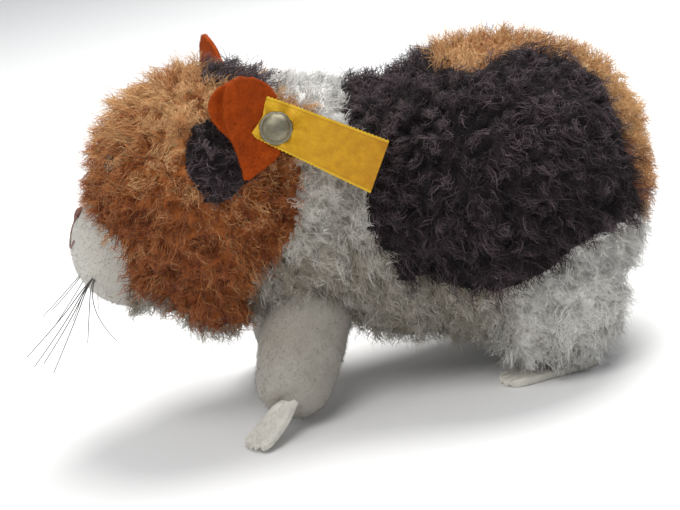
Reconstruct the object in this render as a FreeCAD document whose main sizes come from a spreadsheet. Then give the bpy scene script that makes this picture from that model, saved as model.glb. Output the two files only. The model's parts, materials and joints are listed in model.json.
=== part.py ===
"""Stuffed toy guinea pig of curly mohair plush, with felt ears and paws and a riveted ear tag.

The toy is laid out about the long axis of its trunk: X runs from the nose (-X) to the tail (+X),
-Y is the animal's left, +Z is up, and the axis itself is Y = Z = 0. The trunk is a head sphere, a neck
cylinder and a body sphere on that axis, covered with plush panels as thick as their pile and sewn together along
planes across the axis and seams along it. Angles round the trunk count from the top towards the left side.
Last of all the whole toy is pitched nose-up into its stance, with its soles on Z = 0.
"""

import FreeCAD, Part
import math
import os

import Sketcher

Vector = FreeCAD.Vector
Rotation = FreeCAD.Rotation
Placement = FreeCAD.Placement
X_AXIS, Y_AXIS, Z_AXIS = Vector(1, 0, 0), Vector(0, 1, 0), Vector(0, 0, 1)
ORIGIN = Vector(0, 0, 0)
LEFT, RIGHT = -1, 1
SIDES = (("left", LEFT), ("right", RIGHT))

# Alias, value in millimetres or degrees, and what it sizes.
SIZES = (
    ("head_radius", 35.5, "outside of the head's pile"),
    ("head_x", -41.0, "centre of the head"),
    ("body_radius", 42.0, "outside of the body's pile"),
    ("body_x", 33.0, "centre of the body"),
    ("neck_radius", 31.5, "outside of the neck's pile"),
    ("long_pile", 6.0, "backing and long curly pile"),
    ("short_pile", 2.5, "backing and short pile of the muzzle and legs"),
    ("snout_radius", 17.0, "outside of the snout's pile"),
    ("snout_sink", 10.9, "depth of the snout's centre in the head"),
    ("snout_drop", 37.6, "snout's centre below straight ahead of the head's"),
    ("muzzle_seam", -62.0, "seam round the muzzle"),
    ("crown_seam", -43.0, "front of the dark crown patch"),
    ("neck_seam", -22.5, "seam between head and neck"),
    ("saddle_seam", -3.5, "front of the dark saddle"),
    ("back_seam", 15.0, "front of the ginger back patch"),
    ("rump_seam", 64.0, "front of the rump panels"),
    ("bridge_angle", 75.0, "half the nose bridge, round the axis"),
    ("crown_angle", 25.0, "half the crown gusset"),
    ("back_angle", 27.0, "half the back patch"),
    ("rump_angle", 105.0, "half the ginger rump"),
    ("saddle_angle", 120.0, "lower edge of the saddle"),
    ("belly_angle", 150.0, "edge of the belly gusset and chin"),
    ("ear_patch_x", -38.0, "centre of the dark patch by the ear"),
    ("ear_patch_z", 14.0, "height of that patch"),
    ("ear_patch_radius", 8.5, "its radius"),
    ("haunch_radius", 18.0, "outside of the thigh's pile"),
    ("haunch_sink", 6.1, "depth of the thigh's centre in the body"),
    ("haunch_back", 24.7, "thigh's centre behind the middle of the body"),
    ("haunch_angle", 140.0, "thigh's centre round the axis from the top"),
    ("haunch_flat", 1.2, "depth of the flat that the hind foot is sewn to"),
    ("stance_pitch", 10.4, "nose-up pitch of the standing toy"),
    ("leg_x", -16.5, "shoulder pivot"),
    ("leg_y", 15.0, "shoulder pivot from the middle"),
    ("leg_z", -30.0, "shoulder pivot below the axis"),
    ("leg_top_radius", 11.5, "rounded top of the front leg"),
    ("leg_end_radius", 9.4, "rounded end of the front leg"),
    ("leg_lean", 8.0, "forward lean of the front leg"),
    ("leg_splay", 35.0, "outward lean of the front leg"),
    ("leg_gap", 0.5, "clearance round the top of the leg"),
    ("felt", 2.0, "thickness of the felt"),
    ("felt_gap", 0.35, "clearance between felt and pile"),
    ("paw_length", 22.6, "front paw, heel to toes"),
    ("paw_width", 10.0, "front paw"),
    ("paw_heel", 5.0, "heel behind the ankle"),
    ("paw_turn", 60.0, "front paws turn outwards from straight ahead"),
    ("foot_length", 27.0, "hind foot"),
    ("foot_width", 11.0, "hind foot"),
    ("foot_heel", 8.0, "heel behind the middle of the thigh"),
    ("foot_turn", 14.0, "hind feet turn outwards from straight ahead"),
    ("toe_cut", 2.6, "depth of the cuts between toes"),
    ("toe_cut_width", 0.9, "width of those cuts"),
    ("ear_height", 25.0, "ear, root to rounded top"),
    ("ear_width", 21.0, "ear at its widest"),
    ("ear_root_width", 7.0, "ear where it is pinched and sewn on"),
    ("left_ear_x", -31.0, "middle of the flattened left ear"),
    ("left_ear_angle", 72.0, "root of the left ear round the head"),
    ("right_ear_x", -34.0, "root of the standing right ear"),
    ("right_ear_angle", 62.0, "root of the right ear round the head"),
    ("right_ear_lean", 18.0, "forward lean of the right ear"),
    ("button_radius", 3.9, "ear button"),
    ("button_dome", 1.6, "height of its dome"),
    ("button_rim", 0.6, "thickness of its rim"),
    ("rivet_radius", 1.2, "rivet shank"),
    ("rivet_gap", 0.15, "clearance of the tag's hole round the shank"),
    ("washer_radius", 3.0, "clinched washer behind the ear"),
    ("washer", 0.5, "thickness of that washer"),
    ("button_back", 6.9, "button behind the middle of the ear"),
    ("button_up", 11.3, "button above the root of the ear"),
    ("tag_length", 31.5, "cloth tag"),
    ("tag_width", 13.3, "cloth tag"),
    ("tag_thickness", 0.6, "folded cloth of the tag"),
    ("tag_lead", 4.7, "tag's short end ahead of the button"),
    ("tag_droop", 23.0, "tag below the level"),
    ("tag_gap", 0.2, "clearance on both faces of the tag"),
    ("eye_radius", 3.4, "glass eye"),
    ("eye_x", -70.0, "eye along the axis"),
    ("eye_angle", 56.0, "eye round the head"),
    ("eye_wire_radius", 0.4, "wire behind the eye"),
    ("eye_wire_length", 12.0, "wire from the middle of the eye into the stuffing"),
    ("nose_width", 9.0, "embroidered nose"),
    ("nose_height", 5.5, "embroidered nose"),
    ("nose_depth", 1.4, "embroidered nose, from the pile"),
    ("nose_angle", 35.0, "nose above the middle of the snout"),
    ("mouth_length", 6.5, "mouth stitch below the nose"),
    ("lip_length", 5.0, "stitches to each side of the mouth"),
    ("lip_angle", 58.0, "those stitches from straight down"),
    ("thread_radius", 0.45, "embroidery thread"),
    ("whisker_radius", 0.16, "bristle"),
    ("whisker_bend", 60.0, "radius that a bristle is bent to"),
    ("whisker_spacing", 1.3, "between the roots of the bristles"),
    ("whisker_side", 49.0, "whiskers' root round the snout from straight ahead"),
    ("whisker_down", 24.0, "whiskers' root below the middle of the snout"),
    ("seam_stitches", 9, "stitches in the closing seam"),
    ("seam_pitch", 4.0, "between those stitches"),
    ("seam_stitch_length", 5.0, "one stitch across the seam"),
    ("seam_start", 0.0, "first stitch along the axis"),
)
VALUES = {alias: value for alias, value, _ in SIZES}

doc = FreeCAD.newDocument("guinea_pig")
sheet = doc.addObject("Spreadsheet::Sheet", "Sizes")
for row, (alias, value, meaning) in enumerate(SIZES, start=1):
    sheet.set(f"A{row}", str(value))
    sheet.setAlias(f"A{row}", alias)
    sheet.set(f"B{row}", meaning)
doc.recompute()


class Size:
    """A value together with the expression on the sheet that gives it."""

    def __init__(self, value, text):
        self.value = value
        self.text = text

    @staticmethod
    def of(other):
        return other if isinstance(other, Size) else Size(float(other), f"({other})")

    def __add__(self, other):
        other = Size.of(other)
        return Size(self.value + other.value, f"({self.text} + {other.text})")

    def __sub__(self, other):
        other = Size.of(other)
        return Size(self.value - other.value, f"({self.text} - {other.text})")

    def __mul__(self, other):
        other = Size.of(other)
        return Size(self.value * other.value, f"({self.text} * {other.text})")

    def __truediv__(self, other):
        other = Size.of(other)
        return Size(self.value / other.value, f"({self.text} / {other.text})")

    def __neg__(self):
        return Size(-self.value, f"(0 - {self.text})")

    def root(self):
        return Size(math.sqrt(self.value), f"sqrt({self.text})")


def size(alias):
    """A named size from the sheet."""
    return Size(VALUES[alias], f"Sizes.{alias}")


ZERO = Size(0.0, "0")


def bind(thing, **sizes):
    """Ties properties of a document object to sizes."""
    for name, value in sizes.items():
        thing.setExpression(name, value.text)


def angle(alias):
    return math.radians(VALUES[alias])


def cosine(alias):
    return Size(math.cos(angle(alias)), f"cos(Sizes.{alias})")


def sine(alias):
    return Size(math.sin(angle(alias)), f"sin(Sizes.{alias})")


# The snout's centre from the head's, and the thigh's centre from the body's, in the trunk's own axes.
snout_reach = size("head_radius") - size("snout_sink")
snout_x = size("head_x") - snout_reach * cosine("snout_drop")
snout_z = -(snout_reach * sine("snout_drop"))
haunch_reach = size("body_radius") - size("haunch_sink")
haunch_x = size("body_x") + haunch_reach * sine("haunch_back")
haunch_y = haunch_reach * cosine("haunch_back") * sine("haunch_angle")
haunch_z = haunch_reach * cosine("haunch_back") * cosine("haunch_angle")

# The stance: the toy's own axes pitched nose-up, then lifted so that the hind soles lie on Z = 0.
pitch = VALUES["stance_pitch"]
nose_up = Rotation(Y_AXIS, pitch)
nose_down = Rotation(Y_AXIS, -pitch)
thigh = Vector(haunch_x.value, 0, haunch_z.value)
thigh_above_floor = VALUES["haunch_radius"] - VALUES["haunch_flat"] + VALUES["felt"]
lift = thigh_above_floor - nose_up.multVec(thigh).z
stance = Placement(Vector(0, 0, lift), nose_up)
subparts = []


def keep(thing, label):
    """Names a finished sub-part and brings it from the trunk's axes into the stance."""
    thing.Label = label
    thing.Placement = stance.multiply(thing.Placement)
    subparts.append(thing)
    return thing


# ---------------------------------------------------------------- sketches and turned bodies


def plane_of(body, role):
    return next(f for f in body.Origin.OriginFeatures if f.Role == role)


def new_body(name):
    return doc.addObject("PartDesign::Body", f"{name}_body")


def new_sketch(body, role="XY_Plane"):
    sketch = body.newObject("Sketcher::SketchObject", f"{body.Name}_sketch")
    sketch.AttachmentSupport = (plane_of(body, role), [""])
    sketch.MapMode = "FlatFace"
    return sketch


def add_number(sketch, kind, geometry, point, number):
    """A dimension of the sketch, tied to a size. A zero puts the point on the axis instead."""
    if number.value == 0.0:
        axis = -2 if kind == "DistanceX" else -1
        sketch.addConstraint(
            Sketcher.Constraint("PointOnObject", geometry, point, axis)
        )
        return
    n = sketch.addConstraint(Sketcher.Constraint(kind, geometry, point, number.value))
    sketch.setExpression(f"Constraints[{n}]", number.text)


def closed_outline(sketch, corners, arcs):
    """Draws a closed outline. corners are (x, y) sizes, and arcs gives for the edge that leaves a corner its
    (centre x, radius) on the sketch's X axis; every other edge is straight."""
    ends = []
    for i, (x, y) in enumerate(corners):
        x_next, y_next = corners[(i + 1) % len(corners)]
        here, there = Vector(x.value, y.value), Vector(x_next.value, y_next.value)
        if i not in arcs:
            ends.append((sketch.addGeometry(Part.LineSegment(here, there)), 1, 2))
            continue
        centre_x, radius = arcs[i]
        centre = Vector(centre_x.value, 0)
        angles = [math.atan2((p - centre).y, (p - centre).x) for p in (here, there)]
        circle = Part.Circle(centre, Z_AXIS, radius.value)
        arc = sketch.addGeometry(Part.ArcOfCircle(circle, min(angles), max(angles)))
        ends.append((arc, 1, 2) if angles[0] < angles[1] else (arc, 2, 1))
        n = sketch.addConstraint(Sketcher.Constraint("Radius", arc, radius.value))
        sketch.setExpression(f"Constraints[{n}]", radius.text)
    for i, (geometry, first, _) in enumerate(ends):
        before, _, last = ends[i - 1]
        sketch.addConstraint(
            Sketcher.Constraint("Coincident", before, last, geometry, first)
        )
        x, y = corners[i]
        add_number(sketch, "DistanceX", geometry, first, x)
        add_number(sketch, "DistanceY", geometry, first, y)


def turned(name, corners, arcs, sweep=None):
    """A body turned about X from an outline in the XY plane, all the way round or through sweep."""
    body = new_body(name)
    sketch = new_sketch(body)
    closed_outline(sketch, corners, arcs)
    spin = body.newObject("PartDesign::Revolution", f"{name}_spin")
    spin.Profile = sketch
    spin.ReferenceAxis = (sketch, ["H_Axis"])
    if sweep is None:
        spin.Angle = 360.0
    else:
        bind(spin, Angle=sweep)
    sketch.Visibility = False
    body.Tip = spin
    return body


# ---------------------------------------------------------------- trunk: stuffing and plush panels


def on_circle(x, centre_x, radius):
    """Height of a circle centred on the axis."""
    off = x - centre_x
    return (radius * radius - off * off).root()


def wall(inset):
    """The trunk's wall, inset by the pile or by nothing: its stretches, each with its end and its circle."""
    head, body, neck = (
        size(alias) - inset for alias in ("head_radius", "body_radius", "neck_radius")
    )
    head_x, body_x = size("head_x"), size("body_x")
    return {
        "front": head_x - head,
        "neck_front": head_x + (head * head - neck * neck).root(),
        "neck_back": body_x - (body * body - neck * neck).root(),
        "back": body_x + body,
        "head": (head_x, head),
        "body": (body_x, body),
        "neck": neck,
    }


def wall_chain(inset, start, end):
    """Corners and arcs along the trunk's wall from start to end, both places along the axis."""
    w = wall(inset)
    corners, arcs = [], {}

    def height(x):
        if x.value <= w["neck_front"].value:
            return on_circle(x, *w["head"])
        if x.value >= w["neck_back"].value:
            return on_circle(x, *w["body"])
        return w["neck"]

    if start is None:
        corners.append((w["front"], ZERO))
    else:
        corners.append((start, height(start)))
    for x in (w["neck_front"], w["neck_back"]):
        if corners[0][0].value < x.value and (end is None or x.value < end.value):
            corners.append((x, w["neck"]))
    corners.append((w["back"], ZERO) if end is None else (end, height(end)))
    for i in range(len(corners) - 1):
        middle = (corners[i][0].value + corners[i + 1][0].value) / 2
        if middle < w["neck_front"].value:
            arcs[i] = w["head"]
        elif middle > w["neck_back"].value:
            arcs[i] = w["body"]
    return corners, arcs


def panel(name, start, end, first_angle, sweep):
    """A plush panel between two places along the axis, from first_angle on round it, counted from the top to
    the left. None as a place is the front or back pole."""
    outer, outer_arcs = wall_chain(ZERO, start, end)
    inner, inner_arcs = wall_chain(size("long_pile"), start, end)
    turn = len(outer)
    last = len(inner) - 1
    arcs = dict(outer_arcs)
    for i, circle in inner_arcs.items():
        arcs[turn + last - 1 - i] = circle
    body = turned(name, outer + inner[::-1], arcs, sweep)
    body.Placement = Placement(ORIGIN, Rotation(X_AXIS, 90 + first_angle))
    return body


def top_panel(name, start, end, half):
    return panel(name, start, end, -half.value, half * 2)


def bottom_panel(name, start, end, edge):
    return panel(name, start, end, edge.value, Size(360.0, "360") - edge * 2)


def side_panel(name, side, start, end, upper, lower):
    first = upper.value if side == LEFT else -lower.value
    return panel(name, start, end, first, lower - upper)


def stuffing(name, start, end):
    """Wadding that fills the trunk inside the panels, between two places along the axis."""
    corners, arcs = wall_chain(size("long_pile"), start, end)
    if end is not None:
        corners = corners + [(end, ZERO)]
    if start is not None:
        corners = corners + [(start, ZERO)]
    return turned(name, corners, arcs)


def less(name, base, *tools):
    """base less each tool."""
    for i, tool in enumerate(tools):
        cut = doc.addObject("Part::Cut", f"{name}_cut_{i}")
        cut.Base, cut.Tool = base, tool
        base = cut
    return base


def joined(name, *things):
    """Things made into one piece."""
    whole = doc.addObject("Part::MultiFuse", f"{name}_join")
    whole.Shapes = list(things)
    whole.Refine = True
    return whole


def grouped(name, things):
    """Like pieces that share a node and stay separate solids."""
    group = doc.addObject("Part::Compound", f"{name}_group")
    group.Links = list(things)
    return group


def ball(name, radius, place):
    sphere = doc.addObject("Part::Sphere", name)
    bind(sphere, Radius=radius)
    sphere.Placement = Placement(place, Rotation())
    return sphere


def rod(name, radius, length, placement):
    cylinder = doc.addObject("Part::Cylinder", name)
    bind(cylinder, Radius=radius, Height=length)
    cylinder.Placement = placement
    return cylinder


def block(name, length, width, height, placement):
    box = doc.addObject("Part::Box", name)
    bind(box, Length=length, Width=width, Height=height)
    box.Placement = placement
    return box


def arc_rod(name, bend, radius, sweep, placement):
    """A round rod bent to an arc about Z, from the local X axis towards Y, as far as sweep in degrees."""
    ring = doc.addObject("Part::Torus", name)
    bind(ring, Radius1=bend, Radius2=radius, Angle3=sweep)
    ring.Placement = placement
    return ring


def thigh_centre(side):
    return Vector(haunch_x.value, side * haunch_y.value, haunch_z.value)


head_centre = Vector(VALUES["head_x"], 0, 0)
snout_centre = Vector(snout_x.value, 0, snout_z.value)


# ---------------------------------------------------------------- face: eyes, nose, mouth and whiskers


def eye(word, side):
    """A glass eye on its wire, half sunk in the pile, and the wire run on into the wadding."""
    off = VALUES["eye_x"] - VALUES["head_x"]
    ring = math.sqrt(VALUES["head_radius"] ** 2 - off**2)
    out = Vector(off, side * ring * math.sin(angle("eye_angle")), ring * math.cos(angle("eye_angle")))
    glass = ball(f"eye_glass_{word}", size("eye_radius"), head_centre + out)
    inwards = Placement(head_centre + out, Rotation(Z_AXIS, -out))
    wire = rod(f"eye_wire_{word}", size("eye_wire_radius"), size("eye_wire_length"), inwards)
    return joined(f"eye_{word}", glass, wire)


def nose():
    """The nose of flat stitches, let into the pile."""
    thread = doc.addObject("Part::Ellipsoid", "nose_thread")
    bind(
        thread,
        Radius1=size("nose_height") / 2,
        Radius2=size("nose_depth"),
        Radius3=size("nose_width") / 2,
    )
    out = Vector(-math.cos(angle("nose_angle")), 0, math.sin(angle("nose_angle")))
    upright = Rotation(out, Y_AXIS, Vector(), "XYZ")
    thread.Placement = Placement(snout_centre + out * VALUES["snout_radius"], upright)
    return thread


def mouth():
    """A stitch straight down from the nose and one to each side of its lower end, all on the snout."""
    radius = VALUES["snout_radius"]
    half_nose = math.degrees(VALUES["nose_height"] / 2 / radius)
    reach = math.degrees(VALUES["mouth_length"] / radius)
    start = VALUES["nose_angle"] - half_nose
    end = math.radians(start - reach)
    degrees_per_millimetre = Size(180 / math.pi, "180 / pi") / size("snout_radius")
    down = Rotation(Y_AXIS, start).multiply(Rotation(-X_AXIS, -Z_AXIS, Vector(), "XYZ"))
    stitches = [
        arc_rod(
            "mouth_down",
            size("snout_radius"),
            size("thread_radius"),
            size("mouth_length") * degrees_per_millimetre,
            Placement(snout_centre, down),
        )
    ]
    out = Vector(-math.cos(end), 0, math.sin(end))
    along = Vector(-math.sin(end), 0, -math.cos(end))
    for word, side in SIDES:
        heading = along * math.cos(angle("lip_angle")) + Y_AXIS * side * math.sin(angle("lip_angle"))
        turn = Rotation(out, heading, Vector(), "XYZ")
        stitches.append(
            arc_rod(
                f"mouth_{word}",
                size("snout_radius"),
                size("thread_radius"),
                size("lip_length") * degrees_per_millimetre,
                Placement(snout_centre, turn),
            )
        )
    return joined("mouth", *stitches)


# Each bristle: how far forwards, outwards and down it heads, and its length in millimetres.
WHISKERS = (
    (0.62, 0.32, 0.72, 30.0),
    (0.52, 0.38, 0.80, 29.0),
    (0.46, 0.48, 0.76, 27.0),
    (0.30, 0.40, 0.87, 28.0),
    (-0.02, 0.45, 0.90, 18.0),
    (-0.28, 0.50, 0.82, 19.0),
)


def whiskers(word, side):
    """A fan of bristles from close roots in the snout, each bent a little downwards."""
    round_snout, down = angle("whisker_side"), angle("whisker_down")
    out = Vector(
        -math.cos(down) * math.cos(round_snout),
        side * math.cos(down) * math.sin(round_snout),
        -math.sin(down),
    )
    knot = snout_centre + out * (VALUES["snout_radius"] - VALUES["short_pile"])
    across = Z_AXIS.cross(out).normalize() * VALUES["whisker_spacing"]
    up = out.cross(across)
    bristles = []
    for i, (ahead, outwards, drop, length) in enumerate(WHISKERS):
        column, row = divmod(i, 2)
        root = knot + across * (column - 1) + up * (row - 0.5)
        heading = Vector(-ahead, side * outwards, -drop).normalize()
        upwards = (Z_AXIS - heading * heading.z).normalize()
        turn = Rotation(upwards, heading, Vector(), "YXZ")
        centre = root - upwards * VALUES["whisker_bend"]
        bristles.append(
            arc_rod(
                f"bristle_{word}_{i}",
                size("whisker_bend"),
                size("whisker_radius"),
                Size(length * 180 / math.pi, f"{length} * 180 / pi") / size("whisker_bend"),
                Placement(centre, turn),
            )
        )
    return bristles


# ---------------------------------------------------------------- front legs and feet


leg_run = cosine("leg_splay") * cosine("leg_lean")
ankle_height = size("leg_end_radius") + size("felt_gap") + size("felt")


def above_floor(x, z):
    """Height over the floor of a place given in the trunk's axes."""
    under = size("haunch_radius") - size("haunch_flat") + size("felt")
    return (z - haunch_z) * cosine("stance_pitch") - (x - haunch_x) * sine("stance_pitch") + under


leg_length = (above_floor(size("leg_x"), size("leg_z")) - ankle_height) / leg_run


def shoulder(side):
    return Vector(VALUES["leg_x"], side * VALUES["leg_y"], VALUES["leg_z"])


def leg_heading(side):
    """The way down the leg, in the trunk's axes."""
    lean, splay = angle("leg_lean"), angle("leg_splay")
    standing = Vector(
        -math.sin(lean),
        side * math.cos(lean) * math.sin(splay),
        -math.cos(lean) * math.cos(splay),
    )
    return nose_down.multVec(standing)


def ankle(side):
    return shoulder(side) + leg_heading(side) * leg_length.value


def leg_chain(inset):
    """Corners and arcs along a leg's outline, from the pole of its top to the pole of its end."""
    top, end = size("leg_top_radius") - inset, size("leg_end_radius") - inset
    slope = (top - end) / leg_length
    level = (Size(1.0, "1") - slope * slope).root()
    corners = [
        (-top, ZERO),
        (top * slope, top * level),
        (leg_length + end * slope, end * level),
        (leg_length + end, ZERO),
    ]
    return corners, {0: (ZERO, top), 2: (leg_length, end)}


def make_leg(word, side):
    """A leg of two plush halves sewn front and back, and the wadding in it."""
    outer, outer_arcs = leg_chain(ZERO)
    inner, inner_arcs = leg_chain(size("short_pile"))
    arcs = dict(outer_arcs)
    for i, circle in inner_arcs.items():
        arcs[2 * len(outer) - 2 - i] = circle
    for half, facing in (("outer", side), ("inner", -side)):
        name = f"front_leg_{word}_{half}"
        sleeve = turned(name, outer + inner[::-1], arcs, Size(180.0, "180"))
        turn = Rotation(leg_heading(side), Vector(), Y_AXIS * facing, "XZY")
        sleeve.Placement = Placement(shoulder(side), turn)
        keep(sleeve, name)
    wadding = turned(f"front_leg_{word}_stuffing", inner, inner_arcs)
    wadding.Placement = Placement(shoulder(side), Rotation(X_AXIS, leg_heading(side)))
    keep(wadding, f"front_leg_{word}_stuffing")


def felt_sole(name, length, width, placement):
    """A flat felt foot with cuts between its toes. Its heel is at the local origin and its toes along X."""
    half = width.value / 2
    straight = block(
        f"{name}_middle",
        length - width,
        width,
        size("felt"),
        placement.multiply(Placement(Vector(half, -half, 0), Rotation())),
    )
    ends = [
        rod(
            f"{name}_end_{i}",
            width / 2,
            size("felt"),
            placement.multiply(Placement(Vector(x, 0, 0), Rotation())),
        )
        for i, x in enumerate((half, length.value - half))
    ]
    cuts = []
    for i, share in enumerate((-0.5, 0.0, 0.5)):
        y = share * half
        tip = length.value - half + math.sqrt(half**2 - y**2)
        corner = Vector(tip - VALUES["toe_cut"], y - VALUES["toe_cut_width"] / 2, 0)
        cuts.append(
            block(
                f"{name}_toe_cut_{i}",
                size("toe_cut") * 2,
                size("toe_cut_width"),
                size("felt"),
                placement.multiply(Placement(corner, Rotation())),
            )
        )
    return less(name, joined(name, straight, *ends), *cuts)


def flat_on_floor(place, turn_alias, side):
    """A frame level with the floor whose X axis points ahead, turned outwards."""
    turn = angle(turn_alias)
    heading = Vector(-math.cos(turn), side * math.sin(turn), 0)
    level = Rotation(heading, Vector(), Z_AXIS, "ZXY")
    return Placement(place, nose_down.multiply(level))


def make_paw(word, side):
    down = Vector(-VALUES["paw_heel"], 0, -ankle_height.value)
    frame = flat_on_floor(ankle(side), "paw_turn", side).multiply(Placement(down, Rotation()))
    keep(felt_sole(f"front_paw_{word}", size("paw_length"), size("paw_width"), frame), f"front_paw_{word}")


def hind_frame(side):
    down = Vector(-VALUES["foot_heel"], 0, -thigh_above_floor)
    return flat_on_floor(thigh_centre(side), "foot_turn", side).multiply(Placement(down, Rotation()))


def make_hind_leg(word, side, body_ball):
    """The stuffed thigh against the body, flat below where the felt foot is sewn on."""
    name = f"haunch_{word}"
    centre = thigh_centre(side)
    outside = ball(f"{name}_outside", size("haunch_radius"), centre)
    inside = ball(f"{name}_inside", size("haunch_radius") - size("long_pile"), centre)
    reach = size("haunch_radius") * 2
    slab_corner = Vector(-reach.value / 2, -reach.value / 2, VALUES["haunch_flat"] - VALUES["haunch_radius"])
    slab_corner.z -= reach.value
    slab_place = Placement(centre, nose_down).multiply(Placement(slab_corner, Rotation()))
    under = block(f"{name}_under", reach, reach, reach, slab_place)
    keep(less(name, outside, inside, body_ball, under), name)
    keep(less(f"{name}_stuffing", inside, body_ball), f"{name}_stuffing")
    foot = felt_sole(f"hind_foot_{word}", size("foot_length"), size("foot_width"), hind_frame(side))
    keep(foot, f"hind_foot_{word}")


# ---------------------------------------------------------------- ears, button and tag


def felt_ear(name):
    """A leaf of felt in the XY plane, its pinched root across the origin and its rounded top along X."""
    radius = size("ear_width") / 2
    centre = size("ear_height") - radius
    back = radius * 0.3
    half_root = size("ear_root_width") / 2
    shoulder_y = (radius * radius - back * back).root()
    corners = [
        (ZERO, -half_root),
        (centre - back, -shoulder_y),
        (centre - back, shoulder_y),
        (ZERO, half_root),
    ]
    body = new_body(name)
    outline = new_sketch(body)
    closed_outline(outline, corners, {1: (centre, radius)})
    pad = body.newObject("PartDesign::Pad", f"{name}_pad")
    pad.Profile = outline
    bind(pad, Length=size("felt"))
    outline.Visibility = False
    body.Tip = pad
    return body


def round_head_place(alias_x, alias_angle, side, radius):
    """A place beside the trunk, at a radius and an angle round its axis, and the way out from the axis."""
    turn = angle(alias_angle)
    out = Vector(0, side * math.sin(turn), math.cos(turn))
    return Vector(VALUES[alias_x], 0, 0) + out * radius, out


def left_ear_frame():
    """Root of the left ear: X up along the ear, Z out from the head."""
    radius = VALUES["head_radius"] + VALUES["felt_gap"]
    place, out = round_head_place("left_ear_x", "left_ear_angle", LEFT, radius)
    return Placement(place, Rotation(out.cross(X_AXIS), Vector(), out, "ZXY"))


def right_ear_frame():
    """Root of the right ear: X up along the ear, which stands out from the head and leans forward."""
    off = VALUES["right_ear_x"] - VALUES["head_x"]
    ring = math.sqrt(VALUES["head_radius"] ** 2 - (abs(off) - VALUES["felt"]) ** 2)
    radius = ring + VALUES["felt_gap"] + VALUES["felt"] * math.sin(angle("right_ear_lean"))
    place, out = round_head_place("right_ear_x", "right_ear_angle", RIGHT, radius)
    lean = angle("right_ear_lean")
    along = out * math.cos(lean) - X_AXIS * math.sin(lean)
    facing = -X_AXIS * math.cos(lean) - out * math.sin(lean)
    return Placement(place, Rotation(along, Vector(), facing, "XZY"))


def button_spot(frame):
    """Middle of the button on the face of the left ear, in the ear's own frame."""
    back = -1 if frame.Rotation.multVec(Y_AXIS).x < 0 else 1
    return Vector(VALUES["button_up"], back * VALUES["button_back"], 0)


def make_left_ear():
    """The ear that carries the button, the washer clinched behind it and the tag held between."""
    frame = left_ear_frame()
    spot = button_spot(frame)
    leaf = felt_ear("ear_left")
    hole = rod("ear_hole", size("rivet_radius"), size("felt"), Placement(spot, Rotation()))
    pierced = less("ear_left", leaf, hole)
    pierced.Placement = frame
    keep(pierced, "ear_left")

    above = size("felt") + size("tag_gap") * 2 + size("tag_thickness")
    below = above + size("washer")
    rim, dome, radius = size("button_rim"), size("button_dome"), size("button_radius")
    bulge = (radius * radius + dome * dome) / (dome * 2)
    corners = [
        (-below, ZERO),
        (-below, size("rivet_radius")),
        (ZERO, size("rivet_radius")),
        (ZERO, radius),
        (rim, radius),
        (rim + dome, ZERO),
    ]
    button = turned("ear_button", corners, {4: (rim + dome - bulge, bulge)})
    top = Placement(spot + Z_AXIS * above.value, Rotation(X_AXIS, Z_AXIS))
    button.Placement = frame.multiply(top)
    keep(button, "ear_button")

    ring = [
        (ZERO, size("rivet_radius")),
        (ZERO, size("washer_radius")),
        (size("washer"), size("washer_radius")),
        (size("washer"), size("rivet_radius")),
    ]
    washer = turned("ear_washer", ring, {})
    behind = Placement(spot - Z_AXIS * VALUES["washer"], Rotation(X_AXIS, Z_AXIS))
    washer.Placement = frame.multiply(behind)
    keep(washer, "ear_washer")
    make_tag(frame, spot)


def make_tag(frame, spot):
    """The folded cloth tag, hung on the rivet."""
    seat = spot + Z_AXIS * (VALUES["felt"] + VALUES["tag_gap"])
    back = frame.inverse().Rotation.multVec(X_AXIS)
    down = frame.inverse().Rotation.multVec(X_AXIS.cross(frame.Rotation.multVec(Z_AXIS)))
    if down.x > 0:
        down = -down
    droop = angle("tag_droop")
    along = back * math.cos(droop) + down * math.sin(droop)
    turn = Rotation(along, Vector(), Z_AXIS, "ZXY")
    corner = Placement(Vector(-VALUES["tag_lead"], -VALUES["tag_width"] / 2, 0), Rotation())
    cloth = block(
        "tag_cloth",
        size("tag_length"),
        size("tag_width"),
        size("tag_thickness"),
        Placement(seat, turn).multiply(corner),
    )
    hole = rod(
        "tag_hole",
        size("rivet_radius") + size("rivet_gap"),
        size("tag_thickness"),
        Placement(seat, turn),
    )
    tag = less("ear_tag", cloth, hole)
    tag.Placement = frame
    keep(tag, "ear_tag")


def make_right_ear():
    ear = felt_ear("ear_right")
    ear.Placement = right_ear_frame()
    keep(ear, "ear_right")


# ---------------------------------------------------------------- trunk


def closing_stitches():
    """The ladder stitches that close the belly after stuffing, each a short thread across the middle line."""
    stitches = []
    length = VALUES["seam_stitch_length"]
    for i in range(int(VALUES["seam_stitches"])):
        x = VALUES["seam_start"] + i * VALUES["seam_pitch"]
        reach = math.sqrt(VALUES["body_radius"] ** 2 - (x - VALUES["body_x"]) ** 2)
        depth = max(VALUES["neck_radius"], reach)
        place = Placement(Vector(x, -length / 2, -depth), Rotation(Z_AXIS, Y_AXIS))
        stitches.append(rod(f"stitch_{i}", size("thread_radius"), size("seam_stitch_length"), place))
    return stitches


def make_cheek(word, side, snout, socket):
    """The ginger cheek and the round dark patch let into it by the ear."""
    muzzle, neck = size("muzzle_seam"), size("neck_seam")
    cheek = side_panel(f"cheek_{word}", side, muzzle, neck, size("crown_angle"), size("belly_angle"))
    middle = Vector(VALUES["ear_patch_x"], 0, VALUES["ear_patch_z"])
    across = Placement(middle, Rotation(Z_AXIS, Vector(0, side, 0)))
    punch = rod(f"ear_patch_punch_{word}", size("ear_patch_radius"), size("head_radius") * 2, across)
    patch = doc.addObject("Part::Common", f"ear_patch_{word}_common")
    patch.Base, patch.Tool = cheek, punch
    keep(patch, f"ear_patch_{word}")
    keep(less(f"cheek_{word}", cheek, punch, snout, socket), f"cheek_{word}")


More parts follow.
